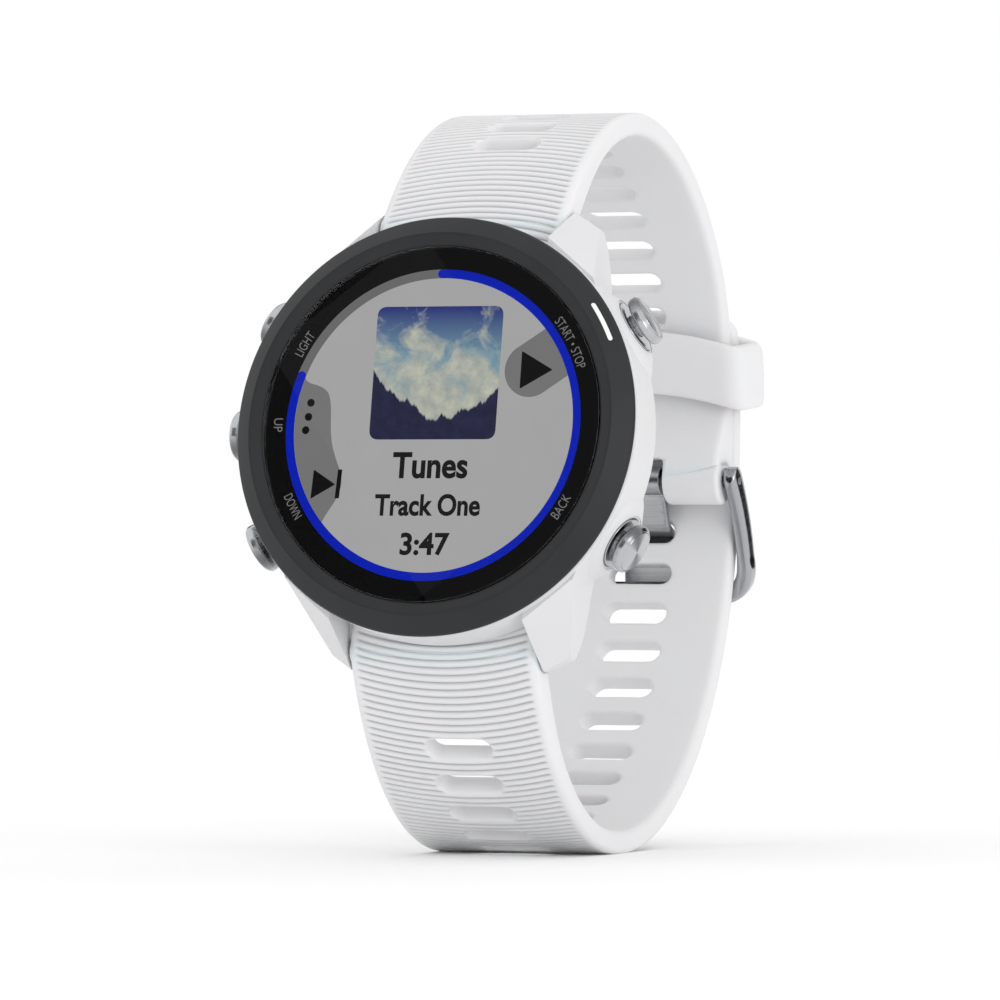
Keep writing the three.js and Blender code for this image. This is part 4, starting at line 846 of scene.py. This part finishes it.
def band(path, holes, bow, tail):
    """A strap as two skins over one grid of rows along it and columns across. Rows bow by up to bow at
    mid-width. The outer skin dips at each fifth row for the grooves between ribs, both skins round off at the
    sides, the holes and the tail, points next to a hole move to its edge, and a wall closes every open edge
    between the skins. The UV's u is how deep in a groove a point is, from 0 to 1, and v its length along the
    strap."""
    length, line, out, thickness, _ = path
    row_t = np.arange(0, length[-1] - bow - 0.02, RIB_PITCH / ROWS_PER_RIB)
    side = BAND_EDGE * np.cos(np.linspace(np.pi / 2, 0, 5))[1:]
    flat = STRAP_HALF - BAND_EDGE
    half_columns = np.concatenate([np.linspace(0, 2.2, 6), np.linspace(2.2, 3.75, 9)[1:],
                                   np.linspace(3.75, flat, 13)[1:], flat + side])
    column_x = np.concatenate([-half_columns[:0:-1], half_columns])
    x = np.broadcast_to(column_x, (len(row_t), len(column_x))).copy()
    bowed = bow * (1 - (x / STRAP_HALF) ** 2)
    t = row_t[:, None] + bowed
    if tail:
        ramp = smooth_step(row_t, row_t[-1] - 9, row_t[-1])[:, None]
        t = t + ramp * (length[-1] - tail_corner(x) - row_t[-1] - bowed)
    distance, edge_x, edge_t = hole_distance(x, t, holes)
    inside = distance < 0
    near = np.zeros_like(inside)
    grown = np.pad(~inside, 1, constant_values=False)
    for di in (-1, 0, 1):
        for dj in (-1, 0, 1):
            near |= grown[1 + di:grown.shape[0] - 1 + di, 1 + dj:grown.shape[1] - 1 + dj]
    moved = inside & near
    x, t = np.where(moved, edge_x, x), np.where(moved, edge_t, t)
    distance = np.where(moved, 0, distance)
    rib = np.abs(2 * (np.arange(len(row_t)) % ROWS_PER_RIB) / ROWS_PER_RIB - 1) ** 3
    ribbed = (1 - smooth_step(np.abs(x), 9.0, 9.3)) * smooth_step(distance, 0.1, 0.5)
    sides = edge_round(STRAP_HALF - np.abs(x), BAND_EDGE)
    rims = edge_round(np.maximum(distance, 0), HOLE_EDGE)
    tips = 0.0
    if tail:
        to_end = length[-1] - tail_corner(x) - t
        tips = edge_round(np.maximum(to_end, 0), 0.7)
        ribbed = ribbed * smooth_step(to_end, 0.6, 1.2)
    drop = np.maximum(np.maximum(sides, rims), tips)
    at, way = read_at(t, length, line), read_at(t, length, out)
    thick = np.interp(t, length, thickness)
    skins = []
    for offset in (-drop - RIB_DEPTH * rib[:, None] * ribbed, drop * 0.95 - thick):
        spot = at + offset[..., None] * way
        skins.append(np.stack([x, spot[..., 0], spot[..., 1]], -1).reshape(-1, 3))
    faces = grid_faces(*x.shape)
    gone = inside.reshape(-1)[faces].all(1)
    faces = faces[~gone]
    edges = np.concatenate([faces[:, [k, (k + 1) % 4]] for k in range(4)])
    count = x.size
    open_edges = edges[~np.isin(edges[:, 0] * count + edges[:, 1], edges[:, 1] * count + edges[:, 0])]
    walls = np.concatenate([open_edges[:, ::-1], open_edges + count], -1)
    points = np.concatenate(skins)
    faces = np.concatenate([faces, faces[:, ::-1] + count, walls])
    used, inverse = np.unique(faces, return_inverse=True)
    groove = (rib[:, None] * ribbed).reshape(-1)
    uv = np.stack([np.concatenate([groove, 0 * groove]), np.tile(t.reshape(-1), 2)], -1)
    return points[used], inverse.reshape(faces.shape), uv[used]


def tube(inner, outer, start, end, middle, edge=0.3, sides=64):
    """A tube along x between two places, round a middle given as depth and up, with rounded outer edges."""
    profile = rounded([(inner, start, 0.05), (outer, start, edge), (outer, end, edge), (inner, end, 0.05)])
    return turned(profile, (0, *middle), (1, 0, 0), sides)


# Silicone rubber: IOR 1.41, a soft sheenless matt that lets a little light in, with a trace of dust in the
# grain.
silicone = moulded("white_silicone", "#E7E7E8", "#E2E2E4", 0.5, 0.22, 0.010, IOR=1.41, Subsurface_Weight=0.12,
                   Subsurface_Scale=0.0012)
# In the grooves between the ribs the rubber's colour is darkened towards grey: painted shade, for the
# light that does not reach into the grooves.
ribbed = silicone.copy()
ribbed.name = "ribbed_silicone_painted_shade"
tree = ribbed.node_tree
shader = tree.nodes["Principled BSDF"]
groove = add(tree, "SeparateXYZ", {"Vector": add(tree, "TexCoord").outputs["UV"]})
shade = add(tree, "MapRange", {"Value": groove.outputs["X"], "To Max": GROOVE_SHADE})
plain_tone = shader.inputs["Base Color"].links[0].from_socket
# Painted shade: the colour in the grooves mixes towards #8E8E92 by how deep in a groove a point is.
tone = add(tree, "Mix", {"Factor": shade.outputs["Result"], "A": plain_tone, "B": linear("#8E8E92")},
           data_type="RGBA")
tree.links.new(tone.outputs["Result"], shader.inputs["Base Color"])
SLOT = (3.45, 1.15, 1.13)


def long_offset(degrees):
    return np.where(degrees > 0, LAYER_STEP * (1 - overlap(degrees)), 0.0)


def long_thickness(degrees):
    plain = 2.4 - 0.25 * smooth_step(degrees, -20, 8)
    return (plain + 0.8 * lug_taper(degrees)) * (1 - 0.3 * smooth_step(degrees, 33, 37))


def short_thickness(degrees):
    return 2.4 + 0.8 * lug_taper(degrees) + 2.9 * (1 - smooth_step(degrees, 10, 23))


long_path = strap_path(-1, 37.0, long_offset, long_thickness)
long_slots = np.interp(slots_from(0.6, 4.69, 16, 4), long_path[4], long_path[0])
made_piece("long_strap", [band(long_path, [(s, *SLOT) for s in long_slots], RIB_BOW, True),
                          tube(0.81, 1.5, -STRAP_HALF, STRAP_HALF, (BAR_DEPTH, -BAR_UP))[:2]],
           ribbed, "watch", ["strap_lower"], 40)

PIN = loop_at(9.0, -(LAYER_STEP + 0.3 + 2.55))[0]
PIN_R = 0.7
NOTCH_HALF = 3.8
short_path = strap_path(1, 8.7, lambda d: -LAYER_STEP * overlap(d), short_thickness)
short_slots = np.interp(-slots_from(122.9, 4.36, 11), -short_path[4], short_path[0])
notch = (short_path[0][-1] - 0.2, NOTCH_HALF, 2.2, 0.5)
made_piece("short_strap", [band(short_path, [*((s, *SLOT) for s in short_slots), notch], RIB_BOW, False),
                           tube(0.81, 1.5, -STRAP_HALF, STRAP_HALF, (BAR_DEPTH, BAR_UP))[:2],
                           *(tube(PIN_R + 0.06, 2.5, a, b, PIN, 0.45)[:2]
                             for a, b in ((-STRAP_HALF, -NOTCH_HALF), (NOTCH_HALF, STRAP_HALF)))],
           ribbed, "watch", ["strap_upper"], 40)

# ---- Keeper ----
# A moulded silicone loop that slides along both straps and holds down the tail. Its edges are well rounded,
# and its middle stands a little higher than its ends.
KEEPER_AT = 27.0
keeper_degrees = KEEPER_AT + np.array([-2.0, 2.0, 0.0])
keeper_spot = loop_at(keeper_degrees, long_offset(keeper_degrees))[0]
keeper_along = (keeper_spot[1] - keeper_spot[0]) / np.linalg.norm(keeper_spot[1] - keeper_spot[0])
keeper_out = np.array([keeper_along[1], -keeper_along[0]])
keeper_middle = keeper_spot[2] - keeper_out * (LAYER_STEP + 2.4) / 2


def keeper_loop():
    """The section of the wall, a rounded box of its thickness and length, carried round a rounded rectangle:
    x and out go round, and the way along bows at mid-width."""
    half_x, half_out, corner = 10.4 + 1.1, 2.75 + 1.0, 1.5
    path = rounded([(half_x, half_out, corner), (-half_x, half_out, corner), (-half_x, -half_out, corner),
                    (half_x, -half_out, corner)], steps=12)[:-1]
    loop = np.vstack([path, path[:1]])
    fine = length_along(loop)
    loop = read_at(np.linspace(0, fine[-1], 161), fine, loop)
    ahead_of = np.gradient(loop, axis=0)
    ahead_of[0] = ahead_of[-1] = loop[1] - loop[-2]
    ahead_of /= np.linalg.norm(ahead_of, axis=1, keepdims=True)
    outwards = np.stack([ahead_of[:, 1], -ahead_of[:, 0]], -1) * -1
    outwards *= np.sign((outwards * loop).sum(1).mean())
    a, b = boxy_ring(40, 4.0)
    wall_half = np.where(np.abs(outwards[:, 0]) > 0.7, 0.9, 0.72)
    wall_half = np.convolve(np.pad(wall_half, 6, mode="wrap"), np.ones(13) / 13, "valid")
    spread = loop[:, None] + (wall_half[:, None] * a)[..., None] * outwards[:, None]
    bowed = 3.3 * b[None, :] + 2.0 * (1 - (spread[..., 0] / 12) ** 2) - 0.6
    side_view = keeper_middle + spread[..., 1, None] * keeper_out + bowed[..., None] * keeper_along
    return grid_shape(np.stack([spread[..., 0], side_view[..., 0], side_view[..., 1]], -1))


made_piece("keeper_loop", [keeper_loop()], silicone, "keeper", ["keeper"], 50)


# ---- Buckle, its pin and its tang ----
# A cast and polished stainless-steel frame turns on a pin through the short strap's end, with a pressed steel
# tang between its arms that passes through a slot of the long strap and lies in the crossbar's seat.
polished = moulded("polished_steel", "#A6A8AB", "#AFB1B4", 0.12, 0.3, 0.0015, Metallic=1.0)
CROSSBAR = loop_at(-8.2, 1.45)[0]
ARM_IN, ARM_OUT = 10.3, 11.7
HINGE_R, CROSSBAR_R = 1.5, 1.15


def swept(spine, half_wide, across, power):
    """A bar in side view along a smooth spine: a rounded box section across it, which narrows to round
    ends."""
    gaps = length_along(spine)
    s = np.linspace(0, gaps[-1], 90)
    line = read_at(s, gaps, spine)
    along = way_along(line)
    side_way = np.stack([-along[:, 1], along[:, 0]], -1)
    half = np.interp(s, [0, gaps[-1]], half_wide)
    reach = np.cos(np.linspace(0, np.pi / 2, 10))
    first = line[0] - along[0] * half[0] * reach[:, None]
    last = line[-1] + along[-1] * half[-1] * reach[::-1, None]
    scale = np.sqrt(np.clip(1 - reach**2, 0, 1))
    line = np.vstack([first, line, last])
    side_way = np.pad(side_way, ((10, 10), (0, 0)), mode="edge")
    half = np.concatenate([half[0] * scale, half, half[-1] * scale[::-1]])
    a, b = boxy_ring(48, power)
    middle, thick = (across[0] + across[1]) / 2, (across[1] - across[0]) / 2
    x = np.broadcast_to(middle + thick * a, (len(line), len(a)))
    spot = line[:, None] + (half[:, None] * b)[..., None] * side_way[:, None]
    return grid_shape(closed_ends(np.stack([x, spot[..., 0], spot[..., 1]], -1)), (gaps[-1], 1.0))


CORNER = 3.0
t = np.linspace(0, 1, 60)[:, None]
bow_middle = (PIN + CROSSBAR) / 2 + [1.3, 1.1]
arm_spine = (1 - t) ** 2 * PIN + 2 * t * (1 - t) * bow_middle + t**2 * CROSSBAR


def frame_bar():
    """One bar bent to a U: down an arm, round a corner, along the crossbar and up the other arm. Its section
    is a rounded box whose sides run across and along the way out of the frame, and its ends are half
    round."""
    middle_x = (ARM_IN + ARM_OUT) / 2
    kept = arm_spine[np.linalg.norm(arm_spine - CROSSBAR, axis=1) > CORNER]
    t = np.linspace(0, 1, 16)[:, None]
    down = np.column_stack([np.full(len(kept), middle_x), kept])
    corner = ((1 - t) ** 2 * down[-1] + 2 * t * (1 - t) * np.array([middle_x, *CROSSBAR])
              + t**2 * np.array([middle_x - CORNER, *CROSSBAR]))
    straight = np.column_stack([np.linspace(middle_x - CORNER, 0, 30), *(np.full(30, c) for c in CROSSBAR)])
    half = np.vstack([down, corner[1:], straight[1:]])
    line = np.vstack([half, (half * [-1, 1, 1])[-2::-1]])
    along, lean = way_along(line), way_along(kept)
    way_out = np.column_stack([np.zeros(len(kept)), -lean[:, 1], lean[:, 0]])
    way_out = np.vstack([way_out, np.repeat(way_out[-1:], len(half) - len(kept), 0)])
    way_out = np.vstack([way_out, way_out[-2::-1]])
    across = np.cross(along, way_out)
    done = np.clip(np.arange(len(line)) / len(kept), 0, None)
    done = np.minimum(done, done[::-1])
    deep = np.interp(done, [0, 1, 1.5], [HINGE_R, 1.2, CROSSBAR_R])
    wide = np.interp(done, [0, 0.9, 1.4], [0.7, 0.75, CROSSBAR_R])
    cap = np.linspace(0, np.pi / 2, 9)
    first = line[0] - along[0] * HINGE_R * np.cos(cap)[:, None]
    last = line[-1] + along[-1] * HINGE_R * np.cos(cap)[::-1, None]
    deep = np.concatenate([HINGE_R * np.sin(cap), deep, HINGE_R * np.sin(cap)[::-1]])
    wide = np.pad(wide, 9, mode="edge")
    line = np.vstack([first, line, last])
    across, way_out = (np.pad(rows, ((9, 9), (0, 0)), mode="edge") for rows in (across, way_out))
    a, b = boxy_ring(48, 3.6)
    return grid_shape(closed_ends(line[:, None] + (wide[:, None] * a)[..., None] * across[:, None]
                                  + (deep[:, None] * b)[..., None] * way_out[:, None]))


bar_points, bar_faces, bar_uv = frame_bar()
seated = np.abs(bar_points[:, 0]) < 3.5
SEAT_DEPTH = CROSSBAR[0] + CROSSBAR_R - 0.75
bar_points[:, 1] = np.where(seated, np.minimum(bar_points[:, 1], SEAT_DEPTH), bar_points[:, 1])
made_piece("buckle", [(bar_points, bar_faces, bar_uv)], polished, "buckle", ["buckle_frame"], 40)

PIN_END_R, PIN_END = 0.45, ARM_OUT + 0.02
pin_profile = rounded([(0, -PIN_END, 0), (PIN_END_R, -PIN_END, 0.1), (PIN_END_R, PIN_END, 0.1), (0, PIN_END, 0)],
                      closed=False)
pin_steel = spun_steel("pin_steel", "#4A4B4D", 0.3, streak=0.5, anisotropy=0.0)
made_piece("hinge_pin", [turned(pin_profile, (0, *PIN), (1, 0, 0), 40)], pin_steel, "buckle", ["buckle_pin"])

slot_middle, _ = loop_at(0.6, -1.2)
inside_depth, outside_depth = slot_middle[0] - 1.2 - 0.55 - 0.45, slot_middle[0] + 1.2 + 0.15 + 0.45
tang_spine = np.array([
    (PIN[0] + 0.3, PIN[1] - 0.4), (inside_depth, slot_middle[1] + 1.35),
    (inside_depth + 0.75, slot_middle[1] + 0.25), (outside_depth - 0.2, slot_middle[1] - 0.15),
    (CROSSBAR[0] + 0.7, CROSSBAR[1] + 2.2),
    (CROSSBAR[0] + 1.0, CROSSBAR[1] + 0.4), (CROSSBAR[0] + 0.95, CROSSBAR[1] - 0.75),
])
brushed = spun_steel("brushed_steel", "#8B8D8F", 0.24, streak=0.2, uneven=0.3, anisotropy=0.2)
TANG_HALF = 3.15
made_piece("buckle_tang", [swept(corners_cut(tang_spine), (0.45, 0.42), (-TANG_HALF, TANG_HALF), 12.0),
                           tube(PIN_R + 0.06, 1.5, -TANG_HALF, TANG_HALF, PIN, 0.15, 48)],
           brushed, "tang", ["tang"], 40)


# ---- Back cover, screws, sensor and charging port; spring bars ----
# The back is closed by a dark moulded cover with four small screws, a clear window over the heart-rate sensor
# and a recessed charging port with four gold-plated contacts. Each strap hangs on a quick-release spring bar.


def finished_copy(name, node, finish, body, bevel_mm=0.08):
    """The CAD piece with its doubled points merged and its sharp edges broken by a small bevel."""
    mesh = frame["nodes"][node].data.copy()
    mesh.name = name
    tidy = bmesh.new()
    tidy.from_mesh(mesh)
    bmesh.ops.remove_doubles(tidy, verts=tidy.verts, dist=1e-6)
    bmesh.ops.dissolve_limit(tidy, angle_limit=math.radians(1), verts=tidy.verts, edges=tidy.edges)
    tidy.to_mesh(mesh)
    tidy.free()
    piece = shown(name, mesh, finish, body, [node], 28)
    broken = piece.modifiers.new("broken_edges", "BEVEL")
    broken.width = bevel_mm / 1000
    broken.segments = 2
    broken.limit_method = "ANGLE"
    broken.angle_limit = math.radians(35)
    return piece


cover_polyamide = moulded("cover_polyamide", "#2B2C2F", "#323336", 0.42, 0.14, 0.015, IOR=1.53)
finished_copy("rear_cover", "back_cover", cover_polyamide, "watch", 0.12)
port_nylon = moulded("port_nylon", "#1B1C1E", "#232427", 0.5, 0.1, 0.01)
finished_copy("port_insert", "charge_port", port_nylon, "watch", 0.06)
screw_steel = spun_steel("screw_steel", "#8D8F92", 0.3, anisotropy=0.0)
gold_plate = spun_steel("gold_plate", "#C99A3A", 0.25, anisotropy=0.0)
for n in range(1, 5):
    finished_copy(f"cover_screw_{n}", f"back_screw_{n}", screw_steel, "watch", 0.05)
    finished_copy(f"port_contact_{n}", f"contact_pin_{n}", gold_plate, "watch", 0.04)
window_glass, _, _ = finish_of("sensor_glass", Roughness=0.04, IOR=1.5)
window_glass.node_tree.nodes["Principled BSDF"].inputs["Base Color"].default_value = linear("#101014")
window_profile = rounded([(0, 11.3, 0), (5.6, 11.3, 0.05), (5.6, 12.15, 0.05), (5.2, 12.25, 0.2), (0, 12.25, 0)],
                         closed=False)
made_piece("sensor_lens", [turned(window_profile)], window_glass, "watch", ["sensor_window"])
bar_steel = spun_steel("bar_steel", "#A5A7AA", 0.3, anisotropy=0.0)
for end in ("upper", "lower"):
    finished_copy(f"bar_{end}", f"spring_bar_{end}", bar_steel, "watch", 0.05)
    finished_copy(f"release_{end}", f"release_pin_{end}", bar_steel, f"release_pin_{end}", 0.05)

# ---- Parts inside the case ----
# Board, cell, motor, buzzer, antenna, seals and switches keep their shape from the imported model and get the
# finish of the real thing: solder mask, foil pouch, tinned and plated metal, rubber and moulded nylon.
INSIDE = {
    moulded("seal_rubber", "#202022", "#2A2A2C", 0.75, 0.1, 0.01): [
        "lens_gasket", "case_seal", *(b + "_seal" for b in BUTTONS)],
    moulded("light_guide", "#F3F3EC", "#EDEDE4", 0.35, 0.3, 0.004): ["backlight"],
    moulded("frame_nylon", "#1D1E20", "#26272A", 0.5, 0.12, 0.01): [
        "inner_frame", *(b + "_switch" for b in BUTTONS)],
    moulded("solder_mask", "#0E3B28", "#134A33", 0.35, 0.3, 0.006): ["main_board", "sensor_board"],
    moulded("foil_pouch", "#9DA0A5", "#8C8F95", 0.32, 0.5, 0.02, Metallic=1.0): ["battery"],
    moulded("tinned_steel", "#A8AAAD", "#B8BABD", 0.3, 0.25, 0.005, Metallic=1.0): [
        "processor_shield", "vibration_motor"],
    moulded("plated_brass", "#C9A44C", "#B8923E", 0.35, 0.25, 0.005, Metallic=1.0): [
        "piezo_buzzer", "gps_antenna"],
    moulded("clear_resin", "#3C6B4A", "#49805A", 0.2, 0.2, 0.003): ["green_led_1", "green_led_2", "photodiode"],
}
for finish, nodes in INSIDE.items():
    for node in nodes:
        mesh = frame["nodes"][node].data
        mesh.materials.clear()
        mesh.materials.append(finish)
